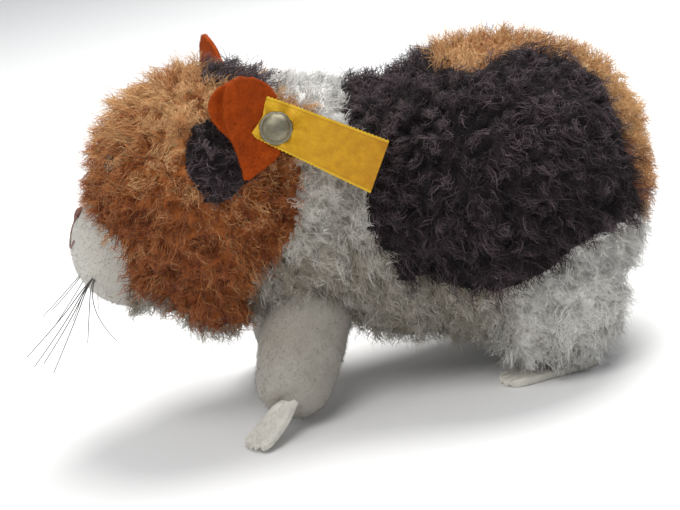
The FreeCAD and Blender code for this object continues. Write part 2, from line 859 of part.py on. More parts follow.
def make_head(sockets):
    muzzle, crown, neck = size("muzzle_seam"), size("crown_seam"), size("neck_seam")
    bridge, crown_half, belly = size("bridge_angle"), size("crown_angle"), size("belly_angle")
    snout = ball("snout_outside", size("snout_radius"), snout_centre)
    snout_core = ball("snout_inside", size("snout_radius") - size("short_pile"), snout_centre)
    head_core = ball("head_inside", size("head_radius") - size("long_pile"), head_centre)
    eyes = {word: eye(word, side) for word, side in SIDES}
    nose_thread, mouth_thread = nose(), mouth()
    bristles = {word: whiskers(word, side) for word, side in SIDES}
    roots = bristles["left"] + bristles["right"]

    top = top_panel("nose_bridge", None, muzzle, bridge)
    keep(less("nose_bridge", top, snout, *eyes.values()), "nose_bridge")
    lower = bottom_panel("muzzle", None, muzzle, bridge)
    whole = joined("muzzle", lower, snout)
    keep(less("muzzle", whole, snout_core, head_core, nose_thread, mouth_thread, *roots), "muzzle")
    keep(top_panel("forehead", muzzle, crown, crown_half), "forehead")
    keep(top_panel("crown_patch", crown, neck, crown_half), "crown_patch")
    under = bottom_panel("chin", muzzle, neck, belly)
    keep(less("chin", under, snout, *sockets.values()), "chin")
    for word, side in SIDES:
        make_cheek(word, side, snout, sockets[side])
        keep(grouped(f"eye_{word}", [eyes[word]]), f"eye_{word}")
        keep(grouped(f"whiskers_{word}", bristles[word]), f"whiskers_{word}")
    keep(less("nose", nose_thread, snout_core), "nose")
    keep(less("mouth", mouth_thread, snout_core, nose_thread), "mouth")
    wadding = joined("head_stuffing", stuffing("head_stuffing", None, neck), snout_core)
    keep(less("head_stuffing", wadding, *eyes.values(), *sockets.values()), "head_stuffing")


def make_body(sockets):
    neck, saddle, back, rump = (
        size(alias) for alias in ("neck_seam", "saddle_seam", "back_seam", "rump_seam")
    )
    back_half, rump_half = size("back_angle"), size("rump_angle")
    saddle_low, belly = size("saddle_angle"), size("belly_angle")
    keep(top_panel("withers", saddle, back, back_half), "withers")
    keep(top_panel("back_patch", back, rump, back_half), "back_patch")
    keep(top_panel("rump", rump, None, rump_half), "rump")
    keep(bottom_panel("seat", rump, None, rump_half), "seat")
    stitches = closing_stitches()
    gusset = bottom_panel("belly_gusset", neck, rump, belly)
    keep(less("belly_gusset", gusset, *sockets.values(), *stitches), "belly_gusset")
    keep(grouped("closing_seam", stitches), "closing_seam")
    for word, side in SIDES:
        collar = side_panel(f"neck_{word}", side, neck, saddle, ZERO, belly)
        keep(less(f"neck_{word}", collar, sockets[side]), f"neck_{word}")
        cover = side_panel(f"saddle_{word}", side, saddle, rump, back_half, saddle_low)
        keep(cover, f"saddle_{word}")
        flank = side_panel(f"flank_{word}", side, saddle, rump, saddle_low, belly)
        keep(less(f"flank_{word}", flank, sockets[side]), f"flank_{word}")
    wadding = stuffing("body_stuffing", neck, None)
    keep(less("body_stuffing", wadding, *sockets.values()), "body_stuffing")


socket_radius = size("leg_top_radius") + size("leg_gap")
sockets = {side: ball(f"socket_{word}", socket_radius, shoulder(side)) for word, side in SIDES}
make_head(sockets)
make_body(sockets)
body_ball = ball("body_outside", size("body_radius"), Vector(VALUES["body_x"], 0, 0))
for word, side in SIDES:
    make_leg(word, side)
    make_paw(word, side)
    make_hind_leg(word, side, body_ball)
make_left_ear()
make_right_ear()
doc.recompute()

# The finished toy is moved along the floor until the middle of its box is over the origin.
middle = Part.makeCompound([thing.Shape for thing in subparts]).optimalBoundingBox().Center
across_floor = Placement(Vector(-middle.x, -middle.y, 0), Rotation())
for thing in subparts:
    thing.Placement = across_floor.multiply(thing.Placement)
doc.recompute()

faults = [thing.Name for thing in doc.Objects if {"Invalid", "Error"} & set(thing.State)]
faults += [
    thing.Label for thing in subparts if thing.Shape.isNull() or not thing.Shape.isValid()
]
if faults:
    raise RuntimeError(f"these did not build: {faults}")
os.makedirs("parts", exist_ok=True)
for thing in subparts:
    thing.Shape.exportStep(f"parts/{thing.Label}.step")


def show(name, vector):
    print(f"{name}: " + ", ".join(f"{value:.3f}" for value in vector))


finished = across_floor.multiply(stance)
for word, side in SIDES:
    show(f"shoulder_{word}", finished.multVec(shoulder(side)))
    show(f"ankle_{word}", finished.multVec(ankle(side)))
    sole = hind_frame(side).multVec(Vector(VALUES["foot_length"] / 2, 0, 0))
    show(f"hind_sole_{word}", finished.multVec(sole))
for word, frame in (("left", left_ear_frame()), ("right", right_ear_frame())):
    show(f"ear_{word}_root", finished.multVec(frame.Base))
    for name, axis in (("up", X_AXIS), ("across", Y_AXIS), ("out", Z_AXIS)):
        show(f"ear_{word}_{name}", finished.Rotation.multVec(frame.Rotation.multVec(axis)))
show("trunk_axis", finished.multVec(ORIGIN))
show("button_spot", finished.multVec(left_ear_frame().multVec(button_spot(left_ear_frame()))))
half_felt = Z_AXIS * VALUES["felt"] / 2
show("right_ear_hinge", finished.multVec(right_ear_frame().multVec(half_felt)))
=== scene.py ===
"""The looks of a stuffed toy guinea pig: curly mohair plush, felt ears and paws, a riveted cloth tag.

Lengths are in metres, except where a table or a comment says millimetres. The plush is shaped and grown in the
trunk's own axes, with X from the nose to the tail along the middle of the trunk, and is then pitched into the
toy's stance. Angles round the trunk count from the top.
"""

import json
import math

import bmesh
import bpy
import numpy as np
from mathutils import Matrix, Vector, noise


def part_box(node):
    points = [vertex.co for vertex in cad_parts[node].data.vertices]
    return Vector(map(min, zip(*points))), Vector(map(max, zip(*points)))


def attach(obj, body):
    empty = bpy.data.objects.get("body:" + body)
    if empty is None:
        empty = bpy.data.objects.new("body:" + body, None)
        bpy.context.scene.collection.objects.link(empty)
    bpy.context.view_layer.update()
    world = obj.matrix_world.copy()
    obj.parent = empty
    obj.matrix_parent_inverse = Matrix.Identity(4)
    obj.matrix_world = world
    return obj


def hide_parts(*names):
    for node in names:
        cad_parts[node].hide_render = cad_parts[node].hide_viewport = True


bl_info = {
    "name": "Plush guinea pig",
    "version": (1, 0, 0),
    "blender": (4, 5, 0),
    "location": "3D View > Sidebar > Guinea pig",
    "description": "Makes the plush, felt, metal and cloth pieces of a stuffed toy guinea pig",
    "category": "Mesh",
}

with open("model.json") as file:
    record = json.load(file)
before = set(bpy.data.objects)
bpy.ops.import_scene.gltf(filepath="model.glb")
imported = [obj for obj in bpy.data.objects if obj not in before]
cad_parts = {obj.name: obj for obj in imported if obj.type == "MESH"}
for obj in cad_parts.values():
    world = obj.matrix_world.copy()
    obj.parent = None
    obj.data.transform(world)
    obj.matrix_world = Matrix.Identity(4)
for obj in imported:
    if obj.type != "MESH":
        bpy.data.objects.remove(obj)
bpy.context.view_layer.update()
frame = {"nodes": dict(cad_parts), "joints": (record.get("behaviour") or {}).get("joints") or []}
JOINTS = {joint["name"]: joint for joint in frame["joints"]}
MM = 0.001
LEFT, RIGHT = -1, 1
SIDES = (("left", LEFT), ("right", RIGHT))
SEEDS = {"plush": 101, "leg": 301, "paw": 401, "foot": 411, "ear": 500, "whiskers": 601}


# ---------------------------------------------------------------- sizes and colours


def length(name, text, millimetres):
    return bpy.props.FloatProperty(
        name=name, description=text, default=millimetres * MM, unit="LENGTH", precision=4
    )


def colour(name, text, red, green, blue):
    return bpy.props.FloatVectorProperty(
        name=name, description=text, default=(red, green, blue), subtype="COLOR", min=0, max=1
    )


def turn(name, text, degrees):
    return bpy.props.FloatProperty(
        name=name, description=text, default=math.radians(degrees), subtype="ANGLE"
    )


class TrunkSizes(bpy.types.PropertyGroup):
    pitch: turn("Pitch", "Nose-up pitch of the standing toy", 10.4)
    leg_x: length("Shoulder", "Shoulder along the trunk", -16.5)
    leg_z: length("Shoulder height", "Shoulder below the trunk's axis", -30.0)
    head_radius: length("Head", "Outside of the head's pile", 35.5)
    head_x: length("Head place", "Centre of the head", -41.0)
    body_radius: length("Body", "Outside of the body's pile", 42.0)
    body_x: length("Body place", "Centre of the body", 33.0)
    neck_radius: length("Neck", "Outside of the neck's pile", 31.5)
    snout_radius: length("Snout", "Outside of the snout's pile", 17.0)
    snout_x: length("Snout place", "Centre of the snout", -60.49)
    snout_z: length("Snout height", "Centre of the snout below the axis", -15.01)
    haunch_radius: length("Thigh", "Outside of the thigh's pile", 18.0)
    haunch_x: length("Thigh place", "Centre of the thigh", 48.0)
    haunch_y: length("Thigh from the middle", "Centre of the thigh", 21.0)
    haunch_z: length("Thigh height", "Centre of the thigh below the axis", -25.0)
    leg_top_radius: length("Leg top", "Rounded top of the front leg", 11.5)
    leg_end_radius: length("Leg end", "Rounded end of the front leg", 9.4)


class PileSizes(bpy.types.PropertyGroup):
    inset: length("Backing", "Matted wool below the outside of the long pile", 2.9)
    long: length("Long pile", "Length of the loose curly hairs", 3.8)
    lock: length("Lock", "Distance between locks of hair", 2.5)
    curl: length("Curl", "Radius that a hair is curled to", 0.85)
    hair: length("Hair", "Radius of a hair at its root", 0.09)
    lump: length("Lump", "Size of the wool's lumps", 4.2)
    lump_depth: length("Lump depth", "Height of the wool's lumps", 1.8)
    density: bpy.props.FloatProperty(
        name="Density", description="Long hairs on each square millimetre", default=1.64
    )
    short: length("Short pile", "Length of the nap on the legs and muzzle", 0.65)
    short_inset: length("Short backing", "Backing below the outside of the nap", 0.8)
    nap: length("Nap hair", "Radius of a nap hair at its root", 0.032)
    short_density: bpy.props.FloatProperty(
        name="Nap density", description="Nap hairs on each square millimetre", default=2.6
    )


class ToyColours(bpy.types.PropertyGroup):
    # Each pile's dark and light colours are the ends of its range of tone. They give its own darker and lighter
    # hairs. They also give painted shade in the wool's creases, low on the trunk and on the legs under it, and
    # painted light on the wool's lumps and on top. The ginger's light colour stands for lit hairs on top and on
    # the lumps, not bleached tips.
    ginger_light: colour("Ginger, light", "Bleached tips", 0.86, 0.53, 0.24)
    ginger: colour("Ginger", "Most of the ginger pile", 0.52, 0.155, 0.030)
    ginger_dark: colour("Ginger, dark", "Deep in the ginger pile", 0.21, 0.038, 0.006)
    brown_light: colour("Brown, light", "Glinting dark hairs", 0.20, 0.145, 0.16)
    brown: colour("Brown", "Most of the dark pile", 0.034, 0.021, 0.024)
    brown_dark: colour("Brown, dark", "Deep in the dark pile", 0.006, 0.003, 0.0035)
    white_light: colour("White, light", "Lit white hairs", 0.97, 0.965, 0.94)
    white: colour("White", "Most of the white pile", 0.76, 0.73, 0.67)
    white_dark: colour("White, dark", "Deep in the white pile", 0.40, 0.35, 0.27)
    nap_light: colour("Nap, light", "Short pile, lit", 0.62, 0.60, 0.55)
    nap: colour("Nap", "Short pile", 0.44, 0.415, 0.37)
    nap_dark: colour("Nap, dark", "Short pile, deep", 0.26, 0.235, 0.195)
    rust: colour("Rust felt", "Face of the ears", 0.31, 0.045, 0.004)
    rust_bright: colour("Bright felt", "Lit and rubbed felt", 0.62, 0.15, 0.012)
    felt: colour("White felt", "Paws", 0.72, 0.69, 0.62)
    ribbon: colour("Tag", "Woven tag", 0.64, 0.335, 0.012)
    ribbon_edge: colour("Tag edge", "Raised edge of the tag", 0.80, 0.54, 0.03)
    nickel: colour("Nickel", "Ear button", 0.31, 0.29, 0.215)
    tarnish: colour("Tarnish", "Dull nickel", 0.12, 0.105, 0.07)


class StageSizes(bpy.types.PropertyGroup):
    azimuth: turn("Azimuth", "Camera round the toy, from its left side", -3.0)
    elevation: turn("Elevation", "Camera above the trunk's axis", 15.0)
    distance: length("Distance", "Camera from the toy", 520.0)
    aim_x: length("Aim", "Point along the trunk that the camera looks at", -6.5)
    aim_up: length("Aim height", "Point above the trunk's axis, as seen", -18.1)
    view_width: length("View width", "Width of the view at the toy", 176.8)
    paper: colour("Floor", "Plain pale floor", 0.86, 0.86, 0.86)


def trunk():
    return bpy.context.scene.toy_trunk


def pile():
    return bpy.context.scene.toy_pile


def colours():
    return bpy.context.scene.toy_colours


def stance():
    """From the trunk's axes to the standing toy, as a matrix. The shoulders fix where the trunk is."""
    sizes = trunk()
    pitch = Matrix.Rotation(sizes.pitch, 4, "Y")
    shoulders = [Vector(JOINTS[f"front_leg_{word}_swing"]["pos_m"]) for word, _ in SIDES]
    middle = (shoulders[0] + shoulders[1]) / 2
    offset = pitch @ Vector((sizes.leg_x, 0, sizes.leg_z))
    return Matrix.Translation(middle - offset) @ pitch


# ---------------------------------------------------------------- materials


class Wire:
    """A socket, with arithmetic that adds Math nodes."""

    def __init__(self, tree, socket):
        self.tree = tree
        self.socket = socket

    def node(self, kind, settings=None, output=0, **inputs):
        """Adds any node to this wire's tree: its settings, then the values or links of its sockets.

        A socket is given by its name, or by its number after an underscore.
        """
        made = self.tree.nodes.new(kind)
        for key, value in (settings or {}).items():
            if key == "stops":
                ramp = made.color_ramp
                while len(ramp.elements) < len(value):
                    ramp.elements.new(0.5)
                for element, (place, tone) in zip(ramp.elements, value):
                    element.position = place
                    element.color = (*tone, 1)
            else:
                setattr(made, key, value)
        for key, value in inputs.items():
            place = int(key[1:]) if key[1:].isdigit() else key.replace("_", " ")
            socket = made.inputs[place]
            if isinstance(value, Wire):
                self.tree.links.new(value.socket, socket)
            elif value is not None:
                socket.default_value = value
        return Wire(self.tree, made.outputs[output])

    def out(self, name):
        """Another output of the node that this wire leaves."""
        return Wire(self.tree, self.socket.node.outputs[name])

    def maths(self, operation, a, b=None):
        return self.node("ShaderNodeMath", {"operation": operation}, _0=a, _1=b)

    def __add__(self, other):
        return self.maths("ADD", self, other)

    __radd__ = __add__

    def __mul__(self, other):
        return self.maths("MULTIPLY", self, other)

    __rmul__ = __mul__

    def __sub__(self, other):
        return self.maths("SUBTRACT", self, other)

    def __rsub__(self, other):
        return self.maths("SUBTRACT", other, self)

    def sine(self):
        return self.maths("SINE", self)

    def absolute(self):
        return self.maths("ABSOLUTE", self)

    def clamp(self):
        return self.node("ShaderNodeClamp", Value=self)

    def ramp(self, *stops):
        return self.node("ShaderNodeValToRGB", {"stops": stops}, Fac=self)

    def mix(self, first, second):
        """first where this wire is 0 and second where it is 1."""
        return self.colours_mixed("MIX", self, shade(first), shade(second))

    def times(self, other):
        """The product of two colours."""
        return self.colours_mixed("MULTIPLY", 1.0, self, other)

    def colours_mixed(self, way, amount, first, second):
        settings = {"data_type": "RGBA", "blend_type": way}
        return self.node("ShaderNodeMix", settings, 2, _0=amount, _6=first, _7=second)


def shade(tint):
    return tint if isinstance(tint, Wire) else (*tint, 1)


def tint(name, share=1.0):
    """A colour from the colour settings, or a share of one."""
    return tuple(part * share for part in getattr(colours(), name))


def grey(value):
    return (value, value, value)


def new_material(name):
    """A material with one Principled shader: its start wire and its shader node."""
    material = bpy.data.materials.new(name)
    material.use_nodes = True
    tree = material.node_tree
    tree.nodes.clear()
    shader = tree.nodes.new("ShaderNodeBsdfPrincipled")
    output = tree.nodes.new("ShaderNodeOutputMaterial")
    tree.links.new(shader.outputs["BSDF"], output.inputs["Surface"])
    return material, Wire(tree, None), shader


def connect(shader, **sockets):
    """Sets sockets of a shader, to wires or to constants."""
    for key, value in sockets.items():
        socket = shader.inputs[key.replace("_", " ")]
        if isinstance(value, Wire):
            value.tree.links.new(value.socket, socket)
        else:
            socket.default_value = value


OBJECT_PLACE = 3  # the output of Texture Coordinate that gives a place on the object


def object_place(start):
    return start.node("ShaderNodeTexCoord", output=OBJECT_PLACE)


def object_noise(start, scale, detail=3.0, roughness=0.55):
    place = object_place(start)
    return start.node("ShaderNodeTexNoise", Vector=place, Scale=scale, Detail=detail, Roughness=roughness)


HAIR_MAP = "OFBake"  # the map of tone and height that every plush and felt piece carries


def hair_map(start):
    """The two parts of the hair map: the tone, and the height up a hair."""
    place = start.node("ShaderNodeUVMap", {"uv_map": HAIR_MAP})
    tone = place.node("ShaderNodeSeparateXYZ", Vector=place)
    return tone, tone.out("Y")


def bumped(start, height, distance, strength=1.0):
    return start.node("ShaderNodeBump", Strength=strength, Distance=distance, Height=height)


TONE_MIDDLE = 0.46  # the tone of a hair of the middle colour


def pile_material(name, word, depth_shade=0.50, sheen=0.14, frizz=0.0005, contrast=1.25):
    """Wool whose tone runs across its map and whose depth runs up it, with fine streaks and a frizzy bump.

    The word is that of its colour settings, and depth_shade is how light it is at the roots.
    """
    material, start, shader = new_material(name)
    tone, height = hair_map(start)
    streaks = object_noise(start, 1900.0, 3.0, 0.7)
    clouds = object_noise(start, 140.0, 2.0, 0.5)
    spread = (tone - TONE_MIDDLE) * contrast + TONE_MIDDLE
    amount = (spread + (streaks - 0.5) * 0.34 + (clouds - 0.5) * 0.30).clamp()
    hair = amount.ramp((0.0, tint(f"{word}_dark")), (0.48, tint(word)), (1.0, tint(f"{word}_light")))
    shadow = height.ramp((0.0, grey(depth_shade)), (0.30, grey(depth_shade * 0.36 + 0.64)), (1.0, grey(1.0)))
    connect(shader, Base_Color=hair.times(shadow), Roughness=0.7, Normal=bumped(start, streaks, frizz, 0.8))
    connect(shader, Sheen_Weight=sheen, Sheen_Roughness=0.45, Specular_IOR_Level=0.2)
    return material


def felt_material(name, deep, middle, bright):
    """Pressed wool: soft mottling, crossed fibres, and lighter fibres standing up from it."""
    material, start, shader = new_material(name)
    tone, standing = hair_map(start)
    cloud = object_noise(start, 210.0, 4.0, 0.6)
    fibres = object_noise(start, 2300.0, 3.0, 0.75)
    amount = (tone * 0.45 + cloud * 0.75 + fibres * 0.55 + standing * 0.22 - 0.50).clamp()
    colour_of_felt = amount.ramp((0.0, deep), (0.5, middle), (1.0, bright))
    relief = bumped(start, fibres * 0.8 + cloud * 0.4, 0.0004, 0.7)
    connect(shader, Base_Color=colour_of_felt, Roughness=0.85, Normal=relief)
    connect(shader, Sheen_Weight=0.25, Sheen_Roughness=0.5, Sheen_Tint=(*bright, 1), Specular_IOR_Level=0.1)
    return material


# ---------------------------------------------------------------- meshes


def clear_selection():
    for thing in bpy.context.selected_objects:
        thing.select_set(False)


def pick(thing):
    clear_selection()
    bpy.context.view_layer.objects.active = thing
    thing.select_set(True)


def apply_modifier(thing, kind, **settings):
    pick(thing)
    modifier = thing.modifiers.new(kind.title(), kind)
    for key, value in settings.items():
        setattr(modifier, key, value)
    bpy.ops.object.modifier_apply(modifier=modifier.name)


def place_mesh(thing, matrix):
    """Moves the mesh itself, so that the object stays at the origin."""
    pick(thing)
    bpy.ops.object.transform_apply(location=True, rotation=True, scale=True)
    thing.data.transform(matrix)


def finish_piece(thing, name, material, body, nodes=()):
    thing.name = name
    thing.data.name = name
    thing.data.materials.clear()
    thing.data.materials.append(material)
    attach(thing, body)
    if nodes:
        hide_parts(*nodes)
    return thing


def shade_smooth(thing):
    for polygon in thing.data.polygons:
        polygon.use_smooth = True


def add_grid(columns, rows):
    """A flat grid two units wide, ready to be given its shape."""
    clear_selection()
    bpy.ops.mesh.primitive_grid_add(x_subdivisions=columns - 1, y_subdivisions=rows - 1, size=2)
    return bpy.context.object


def rounded(thing, voxel, smoothing):
    """Makes one even closed skin of a shape and rounds its edges."""
    apply_modifier(thing, "REMESH", mode="VOXEL", voxel_size=voxel)
    apply_modifier(thing, "SMOOTH", factor=0.5, iterations=smoothing)


BALL_DETAIL = 4


def add_ball(centre, radius):
    clear_selection()
    bpy.ops.mesh.primitive_ico_sphere_add(subdivisions=BALL_DETAIL, radius=radius, location=centre)
    return bpy.context.object


def fused(name, balls, voxel, smoothing):
    """Balls, each a centre and a radius, run together into one rounded body."""
    things = [add_ball(centre, radius) for centre, radius in balls]
    pick(things[0])
    for thing in things[1:]:
        thing.select_set(True)
    bpy.ops.object.join()
    whole = bpy.context.object
    whole.name = name
    pick(whole)
    bpy.ops.object.transform_apply(location=True, rotation=True, scale=True)
    rounded(whole, voxel, smoothing)
    return whole


def arrays(thing):
    """Corners, their outward directions, and triangles of a mesh."""
    mesh = thing.data
    mesh.calc_loop_triangles()
    points = np.empty(len(mesh.vertices) * 3)
    mesh.vertices.foreach_get("co", points)
    outwards = np.empty(len(mesh.vertices) * 3)
    mesh.vertices.foreach_get("normal", outwards)
    triangles = np.empty(len(mesh.loop_triangles) * 3, np.int32)
    mesh.loop_triangles.foreach_get("vertices", triangles)
    return points.reshape(-1, 3), outwards.reshape(-1, 3), triangles.reshape(-1, 3)


def unit(vectors):
    return vectors / np.maximum(np.linalg.norm(vectors, axis=-1, keepdims=True), 1e-12)


def smooth_step(low, high, values):
    share = np.clip((values - low) / (high - low), 0, 1)
    return share * share * (3 - 2 * share)


def wool_noise(points, size, seed):
    """Smooth noise from -1 to 1 with lumps of about size, one value for each point."""
    shift = Vector((seed * 17.3, seed * 5.1, seed * 9.7))
    return np.array([noise.noise(Vector(point) / size + shift) for point in points])


# ---------------------------------------------------------------- hair


class Cloth:
    """A stretch of backing that hair grows from: its corners, outward directions and triangles."""

    def __init__(self, points, outwards, triangles, lifts):
        used, flat = np.unique(triangles, return_inverse=True)
        self.points = points[used]
        self.outwards = outwards[used]
        self.lifts = lifts[used]
        self.triangles = flat.reshape(-1, 3)
        a, b, c = (self.points[self.triangles[:, i]] for i in range(3))
        self.areas = np.linalg.norm(np.cross(b - a, c - a), axis=1) / 2

    def area(self):
        return float(self.areas.sum())

    def scatter(self, rng, count):
        """Random places on the cloth, with the way out from it and the lift of the wool at each."""
        chosen = rng.choice(len(self.areas), count, p=self.areas / self.areas.sum())
        r, s = rng.random((2, count))
        flip = r + s > 1
        r[flip], s[flip] = 1 - r[flip], 1 - s[flip]
        shares = np.stack([1 - r - s, r, s], axis=1)[:, :, None]
        corners = self.triangles[chosen]
        places = (self.points[corners] * shares).sum(axis=1)
        lifts = (self.lifts[corners] * shares[:, :, 0]).sum(axis=1)
        return places, unit((self.outwards[corners] * shares).sum(axis=1)), lifts

    def rim_edges(self):
        """Edges with a triangle on one side only, each in the direction that its triangle gives."""
        edges = self.triangles[:, [0, 1, 1, 2, 2, 0]].reshape(-1, 2)
        count = len(self.points)
        keys = edges[:, 0].astype(np.int64) * count + edges[:, 1]
        back = edges[:, 1].astype(np.int64) * count + edges[:, 0]
        return edges[~np.isin(back, keys)]

    def closed(self, thickness):
        """The cloth as a closed sheet of outside, inside and rim: corners, triangles and lifts."""
        count = len(self.points)
        corners = np.concatenate([self.points, self.points - self.outwards * thickness])
        rim = self.rim_edges()
        a, b = rim[:, 0], rim[:, 1]
        wall = np.concatenate(
            [np.stack([b, a, a + count], axis=1), np.stack([b, a + count, b + count], axis=1)]
        )
        faces = np.concatenate([self.triangles, self.triangles[:, ::-1] + count, wall])
        return corners, faces, np.tile(self.lifts, 2)


LONG_STOPS = (0.0, 0.26, 0.52, 0.78, 1.0)  # shares of a hair's length where it has a ring
SHORT_STOPS = (0.0, 0.55, 1.0)
SIDES_OF_HAIR = 3


def hair_mesh(paths, radii, rng):
    """Closed three-sided tapering hairs along paths.

    Gives their corners and triangles, and for each corner its height up the hair and the side that it is on.
    """
    count, stops, _ = paths.shape
    rings = stops - 1
    along = unit(np.gradient(paths, axis=1))
    across = unit(np.cross(along, rng.normal(size=(count, 1, 3))))
    third = np.cross(along, across)
    share = np.linspace(0, 1, stops)[:rings]
    thick = radii[:, None] * (1 - 0.6 * share)[None, :]
    corners = np.empty((count, rings * SIDES_OF_HAIR + 1, 3))
    for j in range(SIDES_OF_HAIR):
        angle = 2 * math.pi * j / SIDES_OF_HAIR
        offset = math.cos(angle) * across[:, :rings] + math.sin(angle) * third[:, :rings]
        corners[:, j : rings * SIDES_OF_HAIR : SIDES_OF_HAIR] = paths[:, :rings] + offset * thick[:, :, None]
    corners[:, -1] = paths[:, -1]
    faces = [(0, 2, 1)]
    for ring in range(rings):
        low, high = ring * SIDES_OF_HAIR, (ring + 1) * SIDES_OF_HAIR
        for j in range(SIDES_OF_HAIR):
            after = (j + 1) % SIDES_OF_HAIR
            if ring == rings - 1:
                faces.append((low + j, low + after, high))
            else:
                faces += [(low + j, low + after, high + after), (low + j, high + after, high + j)]
    faces = np.array(faces)
    per_hair = rings * SIDES_OF_HAIR + 1
    triangles = (np.arange(count)[:, None, None] * per_hair + faces[None]).reshape(-1, 3)
    heights = np.concatenate([np.repeat(share, SIDES_OF_HAIR), [1.0]])
    sideways = np.concatenate([np.tile(np.arange(SIDES_OF_HAIR), rings), [1]])
    return corners.reshape(-1, 3), triangles, np.tile(heights, count), np.tile(sideways, count)


def thin_out(places, spacing):
    """Keeps places that are at least spacing from every one kept before."""
    kept, cells = [], {}
    for i, place in enumerate(places):
        cell = tuple(np.floor(place / spacing).astype(int))
        near = (
            other
            for x in (-1, 0, 1)
            for y in (-1, 0, 1)
            for z in (-1, 0, 1)
            for other in cells.get((cell[0] + x, cell[1] + y, cell[2] + z), ())
        )
        if all(np.linalg.norm(place - places[other]) >= spacing for other in near):
            cells.setdefault(cell, []).append(i)
            kept.append(i)
    return np.array(kept)


NEAREST_AT_ONCE = 2000


def nearest(places, centres):
    """Index of the nearest centre to each place."""
    best = np.empty(len(places), int)
    for start in range(0, len(places), NEAREST_AT_ONCE):
        part = places[start : start + NEAREST_AT_ONCE]
        gaps = ((part[:, None] - centres[None]) ** 2).sum(axis=2)
        best[start : start + NEAREST_AT_ONCE] = gaps.argmin(axis=1)
    return best


LOOSE_SHARE = 0.06  # of the hairs: these stand out of their locks
LOOSE_STRETCH = 1.3
GLINT_SHARE = 0.06  # of the hairs: these are lighter than the rest, as painted highlights
GLINT = 0.28
BEND = 0.34  # how far a hair's tip bends over, as a share of its length
GATHER = 0.34  # how far the tips of a lock come together


def curly_hair(
    cloth, rng, lay, long, spacing, curl, density, stops=LONG_STOPS, stretch=None, gathered=GATHER
):
    """Locks of curled hair: the path of each hair, and a tone for each.

    The lay gives the way that hair leans at each place, and stretch, where there is one, how much
    of its length it has. Each lock and each hair strays from the rest by a random amount.
    """
    hints, _, _ = cloth.scatter(rng, max(12, int(cloth.area() / spacing**2 * 6)))
    centres = hints[thin_out(hints, spacing * 0.8)]
    count = int(cloth.area() * 1e6 * density)
    roots, outwards, lifts = cloth.scatter(rng, count)
    lock = nearest(roots, centres)
    locks = len(centres)
    lock_long = np.clip(rng.normal(1.0, 0.12, locks), 0.7, 1.35)
    lock_way = rng.normal(size=(locks, 3))
    lock_phase = rng.random(locks) * 2 * math.pi
    lock_hand = rng.choice([-1.0, 1.0], locks)
    lock_tone = rng.normal(size=locks)
    lean = lay(roots)
    lean -= (lean * outwards).sum(axis=1, keepdims=True) * outwards
    lock_axis = unit(outwards + lean + lock_way[lock] * 0.36)
    way = unit(outwards + lean + lock_way[lock] * 0.30 + rng.normal(size=(count, 3)) * 0.26)
    span = long * lock_long[lock] * np.clip(rng.normal(1.0, 0.16, count), 0.5, 1.4)
    loose = rng.random(count) < LOOSE_SHARE
    span[loose] *= LOOSE_STRETCH
    if stretch is not None:
        span = span * stretch(roots)
    first = unit(np.cross(lock_axis, rng.normal(size=(locks, 3))[lock] + 0.01))
    second = np.cross(lock_axis, first)
    phase = lock_phase[lock] + rng.normal(0, 0.7, count)
    turns = rng.normal(1.2, 0.22, count) * lock_hand[lock]
    radius = curl * np.clip(rng.normal(1.0, 0.3, count), 0.3, 1.8)
    bend = unit(lock_way[lock] + lean * 1.6) * BEND
    gather = np.where(loose, 0.0, gathered)[:, None]
    tips = centres[lock] + lock_axis * span[:, None]
    ends = (roots + way * span[:, None]) * (1 - gather) + tips * gather
    start_side = first * np.cos(phase)[:, None] + second * np.sin(phase)[:, None]
    paths = np.empty((count, len(stops), 3))
    for i, share in enumerate(stops):
        wave = phase + turns * share * 2 * math.pi
        side = first * np.cos(wave)[:, None] + second * np.sin(wave)[:, None]
        path = roots * (1 - share) + ends * share + bend * (span * share**2)[:, None]
        paths[:, i] = path + (side - start_side * (1 - share)) * (radius * share**0.5)[:, None]
    # Hairs on the wool's lumps are lighter and those in its creases darker, as painted light and shade. The
    # lock and hair terms are the pile's own random tone. The few glint hairs lightened below are painted
    # highlights.
    tone = TONE_MIDDLE + 0.10 * lock_tone[lock] + 0.26 * lifts + rng.normal(0, 0.12, count)
    tone[rng.random(count) < GLINT_SHARE] += GLINT
    return paths, tone


def nap_hair(cloth, rng, lay):
    """The short nap of the muzzle and the front legs: hair that hardly curls or gathers."""
    hairs = pile()
    return curly_hair(
        cloth, rng, lay, hairs.short, hairs.lock * 0.5, hairs.curl * 0.12, hairs.short_density, SHORT_STOPS,
        gathered=0.05,
    )


def write_mesh(name, corners, triangles, tones, heights):
    """A smooth-shaded mesh whose map holds tone across and height up."""
    mesh = bpy.data.meshes.new(name)
    mesh.vertices.add(len(corners))
    mesh.vertices.foreach_set("co", corners.astype(np.float32).ravel())
    mesh.loops.add(triangles.size)
    mesh.loops.foreach_set("vertex_index", triangles.astype(np.int32).ravel())
    mesh.polygons.add(len(triangles))
    mesh.polygons.foreach_set("loop_start", np.arange(0, triangles.size, 3, dtype=np.int32))
    mesh.polygons.foreach_set("use_smooth", np.ones(len(triangles), bool))
    layer = mesh.uv_layers.new(name=HAIR_MAP)
    places = np.stack([tones[triangles], heights[triangles]], axis=2).astype(np.float32)
    layer.data.foreach_set("uv", places.ravel())
    mesh.update(calc_edges=True)
    mesh.validate()
    thing = bpy.data.objects.new(name, mesh)
    bpy.context.collection.objects.link(thing)
    return thing


TONE_LIMITS = (0.02, 0.97)
# The long pile's backing is toned below the middle, as painted shade under its hairs.
LONG_SKIN_TONE = 0.34
NAP_SKIN_TONE = TONE_MIDDLE
FELT_SKIN_TONE = 0.5
SKIN_TONE_RISE = 0.26  # painted shade in the wool's creases, rising to its lumps
SKIN_HEIGHT = 0.16  # of the backing on the hair map, and of a hair's root
ROOT_HEIGHT = 0.2
SIDE_TONE = 0.004  # between the sides of one hair, so that no triangle of its map is empty


